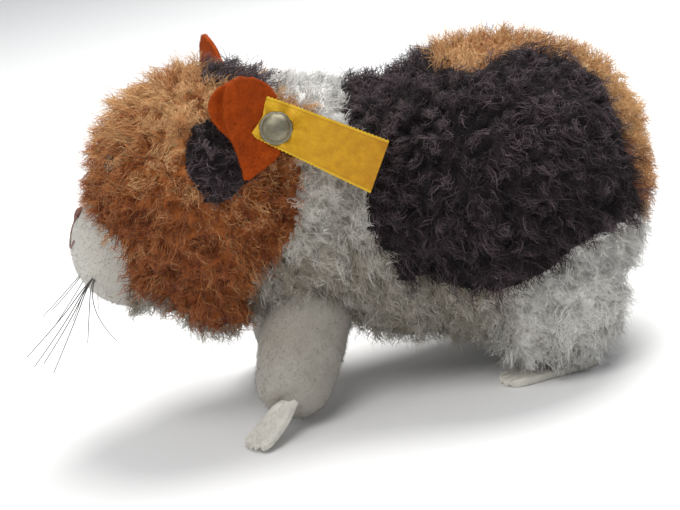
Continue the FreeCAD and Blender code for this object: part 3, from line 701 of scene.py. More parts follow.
def furred(name, skin, paths, tones, hair_radius, rng, skin_tone, shift=None):
    """A closed backing with hairs on it, as one mesh.

    Skin is its corners, triangles, and lift at each corner. The shift adds to the tone at each place.
    """
    skin_points, skin_faces, lifts = skin
    # The backing's tone and its height on the map both rise from the wool's creases to its lumps, which paints
    # shade in the creases.
    skin_tones = skin_tone + SKIN_TONE_RISE * lifts
    skin_heights = SKIN_HEIGHT * (1 + lifts)
    if shift is not None:
        skin_tones = skin_tones + shift(skin_points)
        tones = tones + shift(paths[:, 0])
    radii = hair_radius * np.clip(rng.normal(1.0, 0.2, len(paths)), 0.55, 1.6)
    corners, faces, heights, sideways = hair_mesh(paths, radii, rng)
    corners_each = len(corners) // len(paths)
    hair_tones = np.repeat(np.clip(tones, *TONE_LIMITS), corners_each) + sideways * SIDE_TONE
    return write_mesh(
        name,
        np.concatenate([skin_points, corners]),
        np.concatenate([skin_faces, faces + len(skin_points)]),
        np.concatenate([np.clip(skin_tones, *TONE_LIMITS), hair_tones]),
        np.concatenate([np.clip(skin_heights, 0.0, 1.0), ROOT_HEIGHT + (1 - ROOT_HEIGHT) * heights]),
    )


FLOOR_GAP = 0.15 * MM


def above_floor(thing):
    """Presses a piece's lowest hairs onto the floor."""
    for corner in thing.data.vertices:
        corner.co.z = max(corner.co.z, FLOOR_GAP)


# ---------------------------------------------------------------- the trunk's plush


THROAT = (
    # place along the trunk and height of each filling ball, and its change from the neck's size, in millimetres
    (-12.0, -6.5, -0.5),
    (6.0, -4.5, 2.0),
    (12.0, -9.0, 0.9),
)
NECK_SHARES = (0.15, 0.35, 0.55)  # of the way from the head to the body
JOWL = (-38.5, 11.5, -22.5, 12.0)  # place, distance from the middle, height and radius, in millimetres


def haunch_centre(side):
    sizes = trunk()
    return np.array([sizes.haunch_x, side * sizes.haunch_y, sizes.haunch_z])


def trunk_balls():
    """The stuffed shape below the pile, as balls in the trunk's axes."""
    sizes = trunk()
    inset = pile().inset
    neck = sizes.neck_radius - inset
    balls = [
        ((sizes.head_x + 2.0 * MM, 0, -0.8 * MM), sizes.head_radius - inset - 1.4 * MM),
        ((sizes.body_x + 1.0 * MM, 0, -1.0 * MM), sizes.body_radius - inset - 0.8 * MM),
        ((sizes.snout_x, 0, sizes.snout_z), sizes.snout_radius - pile().short_inset),
    ]
    for share in NECK_SHARES:
        x = sizes.head_x + (sizes.body_x - sizes.head_x) * share
        balls.append(((x, 0, -2.0 * MM), neck))
    for x, z, change in THROAT:
        balls.append(((x * MM, 0, z * MM), neck + change * MM))
    balls.append(((43.0 * MM, 0, 8.0 * MM), sizes.body_radius - inset - 11.0 * MM))
    x, y, z, radius = JOWL
    for _, side in SIDES:
        centre = haunch_centre(side)
        balls.append((centre, sizes.haunch_radius - inset))
        lower = centre - np.array([4.0, 0.0, 4.5]) * MM
        balls.append((lower, sizes.haunch_radius - inset - 3.5 * MM))
        balls.append(((x * MM, side * y * MM, z * MM), radius * MM))
    return balls


NECK_SEAM = (
    # angle round the trunk, and where the head's ginger ends
    (0, -28.0), (12, -25.0), (22, -19.0), (32, -15.0), (45, -15.5), (60, -17.5),
    (85, -18.0), (105, -21.0), (120, -27.0), (135, -31.0), (180, -31.0),
)


UNDERSIDE = 150  # degrees from the top, where the chin and the belly begin
SEAT_TOP = 104
FOREHEAD_HALF = 25
BRIDGE_REAR = -62
MUZZLE_REAR = -60.5
CROWN_PATCH = (-42, -25, 21)  # its front and rear in millimetres, and its half width in degrees
EAR_PATCH = (-38, 13, 7.5, 9.5)  # its centre along and up, and its half length and half height
MUZZLE_EDGE = (-72.8, -0.5, -1.28)  # a point on the sloping edge of the muzzle, along and up, and its slope
RUMP_FRONT = 67.5
PATCH_FRONT = 17
HAUNCH_TOP = -24
HAUNCH_INNER = 9  # from the middle of the trunk


def waved(values, points, seed):
    """Values in millimetres that wander, which makes an edge between colours uneven, in two sizes of wave."""
    return values + 1.5 * wool_noise(points, 5.0 * MM, seed) + 0.7 * wool_noise(points, 1.6 * MM, seed + 2)


def bulge(values, middle, width):
    """A smooth hump from 0 to 1."""
    return np.exp(-(((values - middle) / width) ** 2))


def panel_names(points):
    """Which plush panel each place on the trunk belongs to.

    It works in millimetres, and in degrees from the top.
    """
    x, y, z = (points / MM).T
    side = np.where(y < 0, "left", "right")
    x = waved(x, points, 41)
    z = waved(z, points, 42)
    angle = np.degrees(np.arctan2(np.abs(y), z))
    height = 0.966 * z - 0.259 * np.abs(y)  # as seen from 15 degrees above
    neck = np.interp(angle, *zip(*NECK_SEAM))
    saddle = -6.5 + 5 * smooth_step(25, 80, angle) + 8 * smooth_step(94, 120, angle)
    saddle_low = 121 - 20 * smooth_step(27, 56, x)
    back_half = 18 + 10 * bulge(x, 26, 6) - 7 * bulge(x, 42, 9) + 66 * smooth_step(55, 72, x)
    names = np.full(len(points), "belly_gusset", dtype=object)

    def assign(mask, name, sided=False):
        names[mask] = [f"{name}_{word}" for word in side[mask]] if sided else name

    head, behind, tail = x < neck, x >= saddle, x > RUMP_FRONT
    assign(head, "cheek", True)
    assign(head & (angle > UNDERSIDE), "chin")
    assign(head & (angle < FOREHEAD_HALF), "forehead")
    front, rear, half = CROWN_PATCH
    assign((x > front) & (x < rear) & (angle < half), "crown_patch")
    along, up, long_half, high_half = EAR_PATCH
    patch = ((x - along) / long_half) ** 2 + ((z - up) / high_half) ** 2 < 1
    assign(head & patch, "ear_patch", True)
    assign(x < BRIDGE_REAR, "nose_bridge")
    along, up, slope = MUZZLE_EDGE
    assign((x < MUZZLE_REAR) & (height < up + slope * (x - along)), "muzzle")
    assign((x >= neck) & (x < saddle) & (angle < UNDERSIDE), "neck", True)
    assign(behind & (angle < UNDERSIDE), "flank", True)
    assign(behind & (angle < saddle_low), "saddle", True)
    assign(behind & (x < PATCH_FRONT) & (angle < back_half), "withers")
    assign((x >= PATCH_FRONT) & (angle < back_half), "back_patch")
    assign(tail & (angle < SEAT_TOP), "rump")
    assign(tail & (angle >= SEAT_TOP), "seat")
    reach = trunk().haunch_radius - pile().inset + 1.6 * MM
    for word, turned in SIDES:
        near = np.linalg.norm(points - haunch_centre(turned), axis=1) < reach
        low = near & (z < HAUNCH_TOP) & (np.abs(y) > HAUNCH_INNER)
        names[low & (side == word)] = f"haunch_{word}"
    return names


def trunk_lay(points):
    """The way that the pile lies: towards the tail and down, and forwards over the face."""
    x = points[:, 0] / MM
    lean = np.zeros_like(points)
    lean[:, 0] = 0.34 - 0.70 * smooth_step(-38, -56, x) - 0.50 * smooth_step(36, 62, x)
    lean[:, 2] = -0.46
    return lean


PLUSH_SLOTS = {
    "ginger_plush": ("cheek_left", "cheek_right", "forehead", "nose_bridge", "back_patch", "rump"),
    "dark_plush": (
        "crown_patch", "ear_patch_left", "ear_patch_right", "withers", "saddle_left", "saddle_right",
    ),
    "white_plush": (
        "chin", "neck_left", "neck_right", "flank_left", "flank_right",
        "belly_gusset", "seat", "haunch_left", "haunch_right",
    ),
    "white_short_plush": ("muzzle",),
}


def plush_materials():
    return {
        "ginger_plush": pile_material("ginger_pile", "ginger"),
        "dark_plush": pile_material("dark_pile", "brown", 0.32, 0.08, contrast=1.8),
        "white_plush": pile_material("white_pile", "white", 0.70, contrast=1.0),
        "white_short_plush": pile_material("short_nap", "nap", 0.93, 0.25, 0.00015, contrast=1.0),
    }


def woolly(points, outwards):
    """The wool's lumps: rounded, with creases between, in two sizes. Gives the points moved and their lifts."""
    hairs = pile()
    big = 1 - 2 * np.abs(wool_noise(points, hairs.lump * 1.5, 1))
    small = 1 - 2 * np.abs(wool_noise(points, hairs.lump * 0.62, 2))
    lifts = np.clip(0.62 * big + 0.5 * small - 0.45, -1, 1)
    return points + outwards * (hairs.lump_depth * lifts)[:, None], lifts


def hair_stretch(points):
    """Hair is longer in a tuft over the brow and low on the thighs, and shorter under the trunk."""
    brow = np.array([-58.0, -8.0, 25.0]) * MM
    near = np.exp(-((np.linalg.norm(points - brow, axis=1) / (7.5 * MM)) ** 2))
    x, _, z = (points / MM).T
    under = smooth_step(-24, -34, z) * smooth_step(40, 25, x)
    thigh = smooth_step(-27, -35, z) * smooth_step(28, 40, x)
    return 1 + 1.0 * near - 0.10 * under + 0.22 * thigh


def ginger_tone(points):
    """Painted light on top, and painted shade low on the head, which makes it darker and redder there. Lighter
    over the tail.
    """
    x, _, z = (points / MM).T
    head = smooth_step(-14, -26, x)
    top = 0.28 * smooth_step(4, 24, z)
    tail = 0.05 + 0.12 * smooth_step(45, 66, x)
    return top - head * 0.15 * smooth_step(10, -10, z) + (1 - head) * tail


def dark_tone(points):
    """A little lighter along the back and the front of the saddle."""
    x, _, z = (points / MM).T
    return 0.10 * smooth_step(12, 34, z) + 0.06 * smooth_step(14, -2, x) - 0.05


def white_tone(points):
    """Painted shade low on the chest, which makes it greyer and warmer there, and painted light on the nape.
    Whitest on the nape and the thighs.
    """
    x, _, z = (points / MM).T
    nape = smooth_step(8, 26, z)
    thigh = smooth_step(24, 44, x)
    low = smooth_step(2, -22, z) * (1 - thigh)
    return 0.58 * nape + 0.30 * thigh - 0.34 * low - 0.04


def muzzle_tone(points):
    """Lightest in front of the nose."""
    return 0.08 + 0.20 * smooth_step(-64 * MM, -76 * MM, points[:, 0])


def leg_painted_shade(points):
    """Painted shade on the front legs: greyer all over, and greyest at their tops, under the trunk."""
    return -0.30 + 0.14 * smooth_step(26 * MM, 8 * MM, points[:, 2])


UNSEEN_SHARE = {"belly_gusset": 0.55, "chin": 0.8, "seat": 0.85}  # of the full density of hair
DARK_GATHER = 0.52  # the dark pile stands in the clearest locks
TONE_SHIFTS = {
    "ginger_plush": ginger_tone,
    "dark_plush": dark_tone,
    "white_plush": white_tone,
    "white_short_plush": muzzle_tone,
}


def grow_plush(materials):
    """Cuts the stuffed shape into panels and grows the pile on each."""
    hairs = pile()
    stuffed = fused("stuffed_shape", trunk_balls(), 0.95 * MM, 16)
    points, outwards, triangles = arrays(stuffed)
    names = panel_names(points[triangles].mean(axis=1))
    lumpy, lifts = woolly(points, outwards)
    smooth = np.zeros(len(points), bool)
    smooth[triangles[names == "muzzle"]] = True
    points = np.where(smooth[:, None], points, lumpy)
    lifts = np.where(smooth, 0.2 * lifts, lifts)
    for row, (slot, nodes) in enumerate(PLUSH_SLOTS.items()):
        for number, node in enumerate(nodes):
            chosen = triangles[names == node]
            if not len(chosen):
                raise RuntimeError(f"no plush was found for {node}")
            rng = np.random.default_rng(SEEDS["plush"] + number + 40 * row)
            cloth = Cloth(points, outwards, chosen, lifts)
            if slot == "white_short_plush":
                paths, tones = nap_hair(cloth, rng, trunk_lay)
                radius, skin_tone = hairs.nap, NAP_SKIN_TONE
            else:
                paths, tones = curly_hair(
                    cloth, rng, trunk_lay, hairs.long, hairs.lock, hairs.curl,
                    hairs.density * UNSEEN_SHARE.get(node, 1.0), stretch=hair_stretch,
                    gathered=DARK_GATHER if slot == "dark_plush" else GATHER,
                )
                radius, skin_tone = hairs.hair, LONG_SKIN_TONE
            name = f"{node}_plush"
            skin = cloth.closed(1.0 * MM)
            piece = furred(name, skin, paths, tones, radius, rng, skin_tone, TONE_SHIFTS[slot])
            piece.data.transform(stance())
            above_floor(piece)
            finish_piece(piece, name, materials[slot], "torso", [node])
    bpy.data.objects.remove(stuffed)


class TOY_OT_plush(bpy.types.Operator):
    """Stuffed trunk with its panels of curly pile"""

    bl_idname = "toy.plush"
    bl_label = "Trunk plush"

    def execute(self, context):
        grow_plush(plush_materials())
        return {"FINISHED"}


# ---------------------------------------------------------------- front legs


LEG_BALLS = 9


def nap_lay(points):
    """Nap lies down and a little forwards."""
    lean = np.zeros_like(points)
    lean[:, 0], lean[:, 2] = -0.25, -0.8
    return lean


def leg_shape(word, side, top, end):
    """The stuffed leg below its nap: a run of balls that leans forwards and fills out towards its end."""
    sizes = trunk()
    balls = []
    for share in np.arange(LEG_BALLS) / (LEG_BALLS - 1):
        share = float(share)
        radius = sizes.leg_top_radius * (1 - share) + sizes.leg_end_radius * share - pile().short_inset
        fill = 0.8 + 0.8 * share + 0.3 * math.sin(5.0 * share + side)
        forwards = Vector((1.2 * (1 - share) - 3.0 * share, 0, 0)) * MM
        balls.append((top + (end - top) * share + forwards, radius + fill * MM))
    return fused(f"leg_shape_{word}", balls, 0.8 * MM, 8)


def add_leg(word, side, material):
    """A front leg: stuffed, short-napped, with a slit in its rounded end where the paw is let in."""
    top = Vector(JOINTS[f"front_leg_{word}_swing"]["pos_m"])
    end = Vector(JOINTS[f"front_paw_{word}_flex"]["pos_m"])
    leg = leg_shape(word, side, top, end)
    points, outwards, triangles = arrays(leg)
    bpy.data.objects.remove(leg)
    slit = np.array(end) + np.array([-5.8, side * 8.0, -1.4]) * MM
    along = unit(np.array([-0.87, 0.0, -0.49]))
    gap = points - slit
    down = gap @ along
    away = np.linalg.norm(gap - down[:, None] * along, axis=1)
    dent = bulge(away, 0.0, 1.5 * MM) * bulge(down, 0.0, 5.5 * MM)
    creases = 0.35 * wool_noise(points, 7.0 * MM, 11 + side) + 0.12 * wool_noise(points, 2.2 * MM, 12)
    points = points + outwards * (creases * MM - 1.6 * MM * dent)[:, None]
    # The slit's lowered lift darkens the nap and the backing there: painted shade in the slit.
    lifts = np.clip(0.12 * wool_noise(points, 1.4 * MM, 13) - 0.9 * dent, -1, 1)
    cloth = Cloth(points, outwards, triangles, lifts)
    rng = np.random.default_rng(SEEDS["leg"] + side)
    paths, tones = nap_hair(cloth, rng, nap_lay)
    name = f"front_leg_{word}_plush"
    nodes = [f"front_leg_{word}_outer", f"front_leg_{word}_inner"]
    skin = (points, triangles, lifts)
    piece = furred(name, skin, paths, tones, pile().nap, rng, NAP_SKIN_TONE, leg_painted_shade)
    above_floor(piece)
    finish_piece(piece, name, material, f"front_leg_{word}", nodes)


class TOY_OT_front_legs(bpy.types.Operator):
    """Two stuffed front legs with short nap"""

    bl_idname = "toy.front_legs"
    bl_label = "Front legs"

    def execute(self, context):
        material = bpy.data.materials["short_nap"]
        for word, side in SIDES:
            add_leg(word, side, material)
        return {"FINISHED"}


# ---------------------------------------------------------------- felt


FIBRE_RADIUS = 0.035 * MM


def fuzzed(thing, name, rng, fuzz, density):
    """A felt shape with loose fibres standing up all over it, as one piece.

    The fuzz is the fibres' length, and the density how many stand on a square millimetre.
    """
    points, outwards, triangles = arrays(thing)
    cloth = Cloth(points, outwards, triangles, 0.5 * wool_noise(points, 1.1 * MM, 21))
    roots, ways, lifts = cloth.scatter(rng, int(cloth.area() * 1e6 * density))
    ways = unit(ways + 1.1 * rng.normal(size=ways.shape))
    spans = fuzz * np.clip(rng.normal(1.0, 0.4, len(roots)), 0.3, 2.2)[:, None]
    curl = unit(rng.normal(size=ways.shape)) * spans * 0.35
    paths = np.stack([roots, roots + ways * spans * 0.6 + curl, roots + ways * spans], axis=1)
    tones = 0.55 + 0.3 * lifts + rng.normal(0, 0.12, len(roots))
    bpy.data.objects.remove(thing)
    return furred(name, (points, triangles, cloth.lifts), paths, tones, FIBRE_RADIUS, rng, FELT_SKIN_TONE)


def softened(node, voxel, swell):
    """A copy of a CAD node with its edges rounded over and its faces slightly uneven, as cut felt is."""
    source = frame["nodes"][node]
    thing = bpy.data.objects.new(f"{node}_soft", source.data.copy())
    bpy.context.collection.objects.link(thing)
    pick(thing)
    apply_modifier(thing, "WELD", merge_threshold=0.002 * MM)
    rounded(thing, voxel, 4)
    points, outwards, _ = arrays(thing)
    bumps = 0.16 * wool_noise(points, 5.0 * MM, 31) + 0.05 * wool_noise(points, 1.0 * MM, 32)
    points = points + outwards * (bumps * MM + swell)[:, None]
    thing.data.vertices.foreach_set("co", points.ravel())
    thing.data.update()
    return thing


PAW_REACH = {
    # from the ankle to the toes; the right paw is turned further out
    "left": Vector((-16.2, -15.6, -10.3)) * MM,
    "right": Vector((-10.5, 18.0, -10.3)) * MM,
}


TOE_NOTCHES = (-0.5, 0.0, 0.5)  # shares of the half width
TOE_START = 0.82  # share of the paw's length where the toes begin
PAW_HALF = 4.7


def paw_point(share, v):
    """A place on the paw, from its share of the length and of the half width, in millimetres.

    Gives how far beyond that share it is, how far it is to the side, and how far it stands out.
    """
    width = PAW_HALF * (0.46 + 0.54 * math.sin(min(1.0, share * 1.15) * math.pi / 2))
    tip = max(0.0, share - TOE_START) / (1 - TOE_START)
    notch = min(abs(v - place) for place in TOE_NOTCHES)
    toes = (0.7 - 3.4 * math.exp(-((notch / 0.16) ** 2))) * tip
    spread = v * width * (1 - 0.16 * tip**3)
    sag = -0.8 * math.sin(share * math.pi) + 0.30 * math.sin(3.1 * v + 2.0 * share)
    return toes - 1.6 * v * v * tip, spread, sag


def add_front_paw(word, side, material):
    """A flat felt paw with a notched toe edge, hanging from the slit in the leg down to the floor."""
    ankle = Vector(JOINTS[f"front_paw_{word}_flex"]["pos_m"])
    heel = ankle + Vector((-3.2, side * 5.6, -0.6)) * MM
    reach = ankle + PAW_REACH[word] - heel
    along = reach.normalized()
    across = Vector((-along.y, along.x, 0)).normalized() * side
    out = across.cross(along).normalized()
    out = out if out.z > 0 else -out
    paw = add_grid(61, 37)
    for corner in paw.data.vertices:
        share = (corner.co.x + 1) / 2
        beyond, spread, sag = paw_point(share, corner.co.y)
        corner.co = heel + reach * share + (along * beyond + across * spread + out * sag) * MM
    apply_modifier(paw, "SOLIDIFY", thickness=1.7 * MM, offset=0.0)
    rounded(paw, 0.34 * MM, 2)
    name = f"front_paw_{word}_felt"
    piece = fuzzed(paw, name, np.random.default_rng(SEEDS["paw"] + side), 0.36 * MM, 4.0)
    above_floor(piece)
    finish_piece(piece, name, material, f"front_paw_{word}", [f"front_paw_{word}"])


class TOY_OT_paws(bpy.types.Operator):
    """Felt front paws and hind feet"""

    bl_idname = "toy.paws"
    bl_label = "Felt paws"

    def execute(self, context):
        material = felt_material("white_felt_cloth", tint("felt", 0.62), tint("felt"), tint("white_light"))
        for word, side in SIDES:
            add_front_paw(word, side, material)
            name = f"hind_foot_{word}_felt"
            foot = softened(f"hind_foot_{word}", 0.45 * MM, 0.0)
            piece = fuzzed(foot, name, np.random.default_rng(SEEDS["foot"] + side), 0.5 * MM, 3.0)
            above_floor(piece)
            finish_piece(piece, name, material, "torso", [f"hind_foot_{word}"])
        return {"FINISHED"}


# ---------------------------------------------------------------- ears


def ear_frame(word):
    """Root of an ear and the directions across its felt (to the rear on the left ear), up it and out of it."""
    joint = JOINTS[f"{word}_ear_fold"]
    root = Vector(joint["pos_m"])
    low, high = (Vector(corner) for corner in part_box(f"ear_{word}"))
    across = Vector(joint["axis"]).normalized()
    out = across.cross(((low + high) / 2 - root).normalized()).normalized()
    faces_out = out.y < 0 if word == "left" else out.x < 0
    out = out if faces_out else -out
    up = out.cross(across).normalized()
    up = up if up.z > 0 else -up
    return root, up.cross(out).normalized(), up, out


EAR_STRETCH = {"left": 1.0, "right": 1.10}
EAR_ROWS = (
    # height up the felt, its rear edge, the fold and its front edge, in millimetres from the root
    (-1.4, 0.6, -0.4, -0.7),
    (0.9, 3.9, -0.7, -0.9),
    (3.0, 6.9, -1.0, -1.3),
    (5.3, 8.6, -1.7, -2.0),
    (8.2, 9.2, -2.9, -3.6),
    (10.6, 9.3, -4.0, -6.2),
    (13.0, 9.1, -4.7, -8.2),
    (15.2, 8.8, -4.9, -8.9),
    (17.0, 8.3, -4.8, -9.0),
    (19.0, 7.5, -4.5, -8.2),
    (20.8, 6.3, -3.9, -6.7),
    (22.2, 4.4, -2.6, -4.0),
    (23.2, 1.4, -0.5, -0.9),
)


def spaced(table, column, places):
    rows = np.array(table)
    return np.interp(places, rows[:, 0], rows[:, column])


FACE_SHARE = 0.66  # of the felt's width is its face, and the next part is the fold
FOLD_SHARE = 0.80
FOLD_RISE = 0.9
FOLD_DROP = 3.9


def ear_point(s, t):
    """Where the felt is, from its share across and up, in millimetres: sideways, up and out."""
    height = -1.4 + 24.6 * (1 - (1 - t) ** 1.35)
    rear, fold, front = (float(spaced(EAR_ROWS, column, height)) for column in (1, 2, 3))
    depth = float(smooth_step(1.0, 9.0, height) * smooth_step(24.0, 20.5, height))
    if s < FACE_SHARE:
        share = s / FACE_SHARE
        sideways = rear + (fold - rear) * share
        outwards = 0.35 * math.sin(share * math.pi) + FOLD_RISE * share**4 * depth
    elif s < FOLD_SHARE:
        share = (s - FACE_SHARE) / (FOLD_SHARE - FACE_SHARE)
        sideways = fold - 0.3 * math.sin(share * math.pi) * depth + 0.9 * share * depth
        outwards = (FOLD_RISE - FOLD_DROP * share) * depth
    else:
        share = (s - FOLD_SHARE) / (1 - FOLD_SHARE)
        sideways = fold + 0.9 * depth + (front - fold - 0.9 * depth) * share
        outwards = (FOLD_RISE - FOLD_DROP) * depth + 1.9 * math.sin(share * math.pi / 2) * depth
    waves = 0.25 * noise.noise(Vector((sideways, height, 4.0)) / 5.0)
    hollow = 0.0042 * (height - 12) ** 2
    return sideways, height, outwards + waves - hollow


def add_ear(word, material, stretch):
    """A felt ear, pinched at its root and creased lengthwise so that its front edge stands behind its face."""
    root, across, up, out = ear_frame(word)
    ear = add_grid(44, 56)
    for corner in ear.data.vertices:
        sideways, height, outwards = ear_point((1 - corner.co.x) / 2, (corner.co.y + 1) / 2)
        corner.co = root + (across * sideways + up * height * stretch + out * outwards) * MM
    apply_modifier(ear, "SOLIDIFY", thickness=1.3 * MM, offset=0.0)
    rounded(ear, 0.38 * MM, 3)
    name = f"ear_{word}_felt"
    piece = fuzzed(ear, name, np.random.default_rng(SEEDS["ear"] + len(word)), 0.42 * MM, 5.0)
    finish_piece(piece, name, material, f"{word}_ear", [f"ear_{word}"])


class TOY_OT_ears(bpy.types.Operator):
    """Two rust felt ears"""

    bl_idname = "toy.ears"
    bl_label = "Felt ears"

    def execute(self, context):
        material = felt_material("rust_felt_cloth", tint("rust", 0.42), tint("rust"), tint("rust_bright"))
        for word, stretch in EAR_STRETCH.items():
            add_ear(word, material, stretch)
        return {"FINISHED"}


# ---------------------------------------------------------------- button and tag


def badge_place():
    """Where the button's shank goes through the felt, with the ear's directions there."""
    _, across, up, out = ear_frame("left")
    low, high = (Vector(corner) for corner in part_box("ear_button"))
    return (low + high) / 2 + (across * 0.4 - up * 0.9) * MM, across, up, out


BUTTON_RIM = 3.95 * MM
BUTTON_DOME = 1.75 * MM
BUTTON_SIDES = 64
BUTTON_PROFILE = (
    # from the back to the top of the dome: shares of the rim's radius and of the dome's height
    (0.50, -0.95), (0.90, -0.95), (1.02, -0.75), (1.06, -0.45), (1.02, -0.20), (0.95, -0.10), (0.90, -0.16),
    (0.84, 0.05), (0.74, 0.30), (0.60, 0.52), (0.42, 0.70), (0.22, 0.79), (0.08, 0.82),
)


def add_button(material):
    """A domed metal button with a rolled rim, turned about its own axis."""
    mesh = bmesh.new()
    angles = [2 * math.pi * i / BUTTON_SIDES for i in range(BUTTON_SIDES)]
    rings = []
    for share, rise in BUTTON_PROFILE:
        radius = BUTTON_RIM * share
        spots = [(radius * math.cos(angle), radius * math.sin(angle), BUTTON_DOME * rise) for angle in angles]
        rings.append([mesh.verts.new(spot) for spot in spots])
    for low, high in zip(rings, rings[1:]):
        for i in range(BUTTON_SIDES):
            after = (i + 1) % BUTTON_SIDES
            mesh.faces.new((low[i], low[after], high[after], high[i]))
    mesh.faces.new(rings[0][::-1])
    mesh.faces.new(rings[-1])
    bmesh.ops.recalc_face_normals(mesh, faces=mesh.faces)
    button = bpy.data.objects.new("button", bpy.data.meshes.new("button"))
    bpy.context.collection.objects.link(button)
    mesh.to_mesh(button.data)
    mesh.free()
    apply_modifier(button, "SUBSURF", levels=2, render_levels=2)
    shade_smooth(button)
    place, across, up, out = badge_place()
    turned = Matrix((across, up, out)).transposed().to_4x4()
    turned.translation = place + out * 1.1 * MM
    place_mesh(button, turned)
    finish_piece(button, "ear_button_metal", material, "left_ear", ["ear_button"])


TAG_DROOP = math.radians(23.5)
TAG_TORN_END = ((-4.7, -2.0), (-3.3, -4.9), (-1.0, -4.4), (1.7, -4.0), (4.2, -4.7), (6.3, -5.0))
TAG_FAR_END = 26.7
SCALLOP = 0.95  # millimetres between the scallops of the tag's edges


def tag_point(u, v):
    """Where the cloth is, from its share along and across.

    In millimetres from the button: along the cloth, square to it, and out.
    """
    n = 1.15 + 6.7 * v * (0.76 + 0.24 * u**0.8)
    end = float(np.interp(n, *zip(*TAG_TORN_END)))
    s = end + (TAG_FAR_END - end) * u - 0.35 * v * u
    n += 0.11 * math.sin(s * 2 * math.pi / SCALLOP) * abs(v) ** 14
    from_button = math.hypot(s, n)
    pucker = 0.60 * math.exp(-(((from_button - 5.2) / 2.6) ** 2)) * math.sin(7 * math.atan2(n, s) + 0.7)
    pressed = 0.75 * math.exp(-((from_button / 3.6) ** 4))
    rise = 0.20 + 0.5 * float(smooth_step(4.0, 26.0, s))
    waves = 0.12 * math.sin(s / 4.2 + 0.8 * v) * u + 0.2 * v * v * u
    return s, n, rise + waves + pucker - pressed


def add_tag(material):
    """A blank woven tag, pinched under the button, with a torn end and scalloped edges."""
    place, across, up, out = badge_place()
    along = across * math.cos(TAG_DROOP) - up * math.sin(TAG_DROOP)
    square = across * math.sin(TAG_DROOP) + up * math.cos(TAG_DROOP)
    tag = add_grid(170, 64)
    places = []
    for corner in tag.data.vertices:
        u, v = (corner.co.x + 1) / 2, corner.co.y
        s, n, lift = tag_point(u, v)
        places.append((u, (v + 1) / 2))
        corner.co = place + (along * s + square * n + out * lift) * MM
    while tag.data.uv_layers:
        tag.data.uv_layers.remove(tag.data.uv_layers[0])
    layer = tag.data.uv_layers.new(name=HAIR_MAP)
    for loop in tag.data.loops:
        layer.data[loop.index].uv = places[loop.vertex_index]
    shade_smooth(tag)
    apply_modifier(tag, "SOLIDIFY", thickness=0.35 * MM, offset=0.0)
    finish_piece(tag, "ear_tag_ribbon", material, "tag", ["ear_tag"])


TAG_LONG = 31.5  # millimetres of cloth
TAG_WIDE = 13.4


def ribbon_material():
    """Satin-woven tape: fine ribs across, slubs along, brighter raised edges with a darker line inside."""
    material, start, shader = new_material("yellow_ribbon_weave")
    along, across = hair_map(start)
    ribs = (along * (TAG_LONG * 2 * math.pi / 0.42)).sine()
    picks = (across * (TAG_WIDE * 2 * math.pi / 0.36)).sine()
    slubs = object_noise(start, 420.0, 4.0, 0.65)
    place = start.node("ShaderNodeUVMap", {"uv_map": HAIR_MAP})
    drawn_out = start.node("ShaderNodeMapping", Vector=place, Scale=(14.0, 190.0, 1.0))
    streaks = start.node("ShaderNodeTexNoise", Vector=drawn_out, Scale=1.0, Detail=3.0)
    edge = (across - 0.5).absolute()
    rim = edge.node("ShaderNodeMapRange", Value=edge, From_Min=0.445, From_Max=0.47)
    line = (edge - 0.435).absolute()
    groove = line.node("ShaderNodeMapRange", Value=line, From_Min=0.010, From_Max=0.0)
    threads = ribs * 0.06 + picks * 0.05
    base = (slubs * 0.8 + streaks * 0.7 + threads - along * 0.42 - 0.04).clamp()
    deep = [part * share for part, share in zip(tint("ribbon"), (0.66, 0.52, 0.5))]
    cloth = base.ramp((0.15, deep), (0.6, tint("ribbon")), (1.0, tint("ribbon_edge")))
    cloth = (rim * 0.55).mix(cloth, tint("ribbon_edge"))
    cloth = (groove * 0.55).mix(cloth, deep)
    height = ribs * 0.25 + picks * 0.2 + streaks * 0.5 + rim * 0.8 - groove * 0.6
    connect(shader, Base_Color=cloth, Roughness=0.5, Normal=bumped(start, height, 0.00016, 0.9))
    connect(shader, Sheen_Weight=0.05, Sheen_Roughness=0.4, Specular_IOR_Level=0.2)
    return material


def nickel_material():
    """Worn nickel: bright where it is rubbed, dull brown-grey where it isn't, and finely scratched."""
    material, start, shader = new_material("worn_nickel")
    stains = object_noise(start, 420.0, 5.0, 0.6)
    grain = object_noise(start, 2600.0, 4.0, 0.6)
    drawn_out = start.node("ShaderNodeMapping", Vector=object_place(start), Scale=(1.0, 1.0, 9.0))
    scratches = start.node("ShaderNodeTexNoise", Vector=drawn_out, Scale=1500.0, Detail=3.0, Roughness=0.6)
    amount = (stains * 0.9 + grain * 0.35 - 0.17).clamp()
    metal = amount.ramp((0.1, tint("tarnish")), (0.75, tint("nickel")))
    rough = (0.50 - amount * 0.20 + scratches * 0.10).clamp()
    relief = bumped(start, scratches * 0.5 + grain * 0.5, 0.00008, 0.8)
    connect(shader, Base_Color=metal, Metallic=1.0, Roughness=rough, Normal=relief)
    return material


class TOY_OT_badge(bpy.types.Operator):
    """Ear button, its washer, and the cloth tag"""

    bl_idname = "toy.badge"
    bl_label = "Button and tag"

    def execute(self, context):
        nickel = nickel_material()
        add_button(nickel)
        add_tag(ribbon_material())
        dress_node("ear_washer", nickel)
        return {"FINISHED"}


# ---------------------------------------------------------------- face


def dress_node(node, material):
    """Gives a CAD node that stays visible its material."""
    thing = frame["nodes"][node]
    if not thing.material_slots:
        thing.data.materials.append(material)
    for slot in thing.material_slots:
        slot.material = material


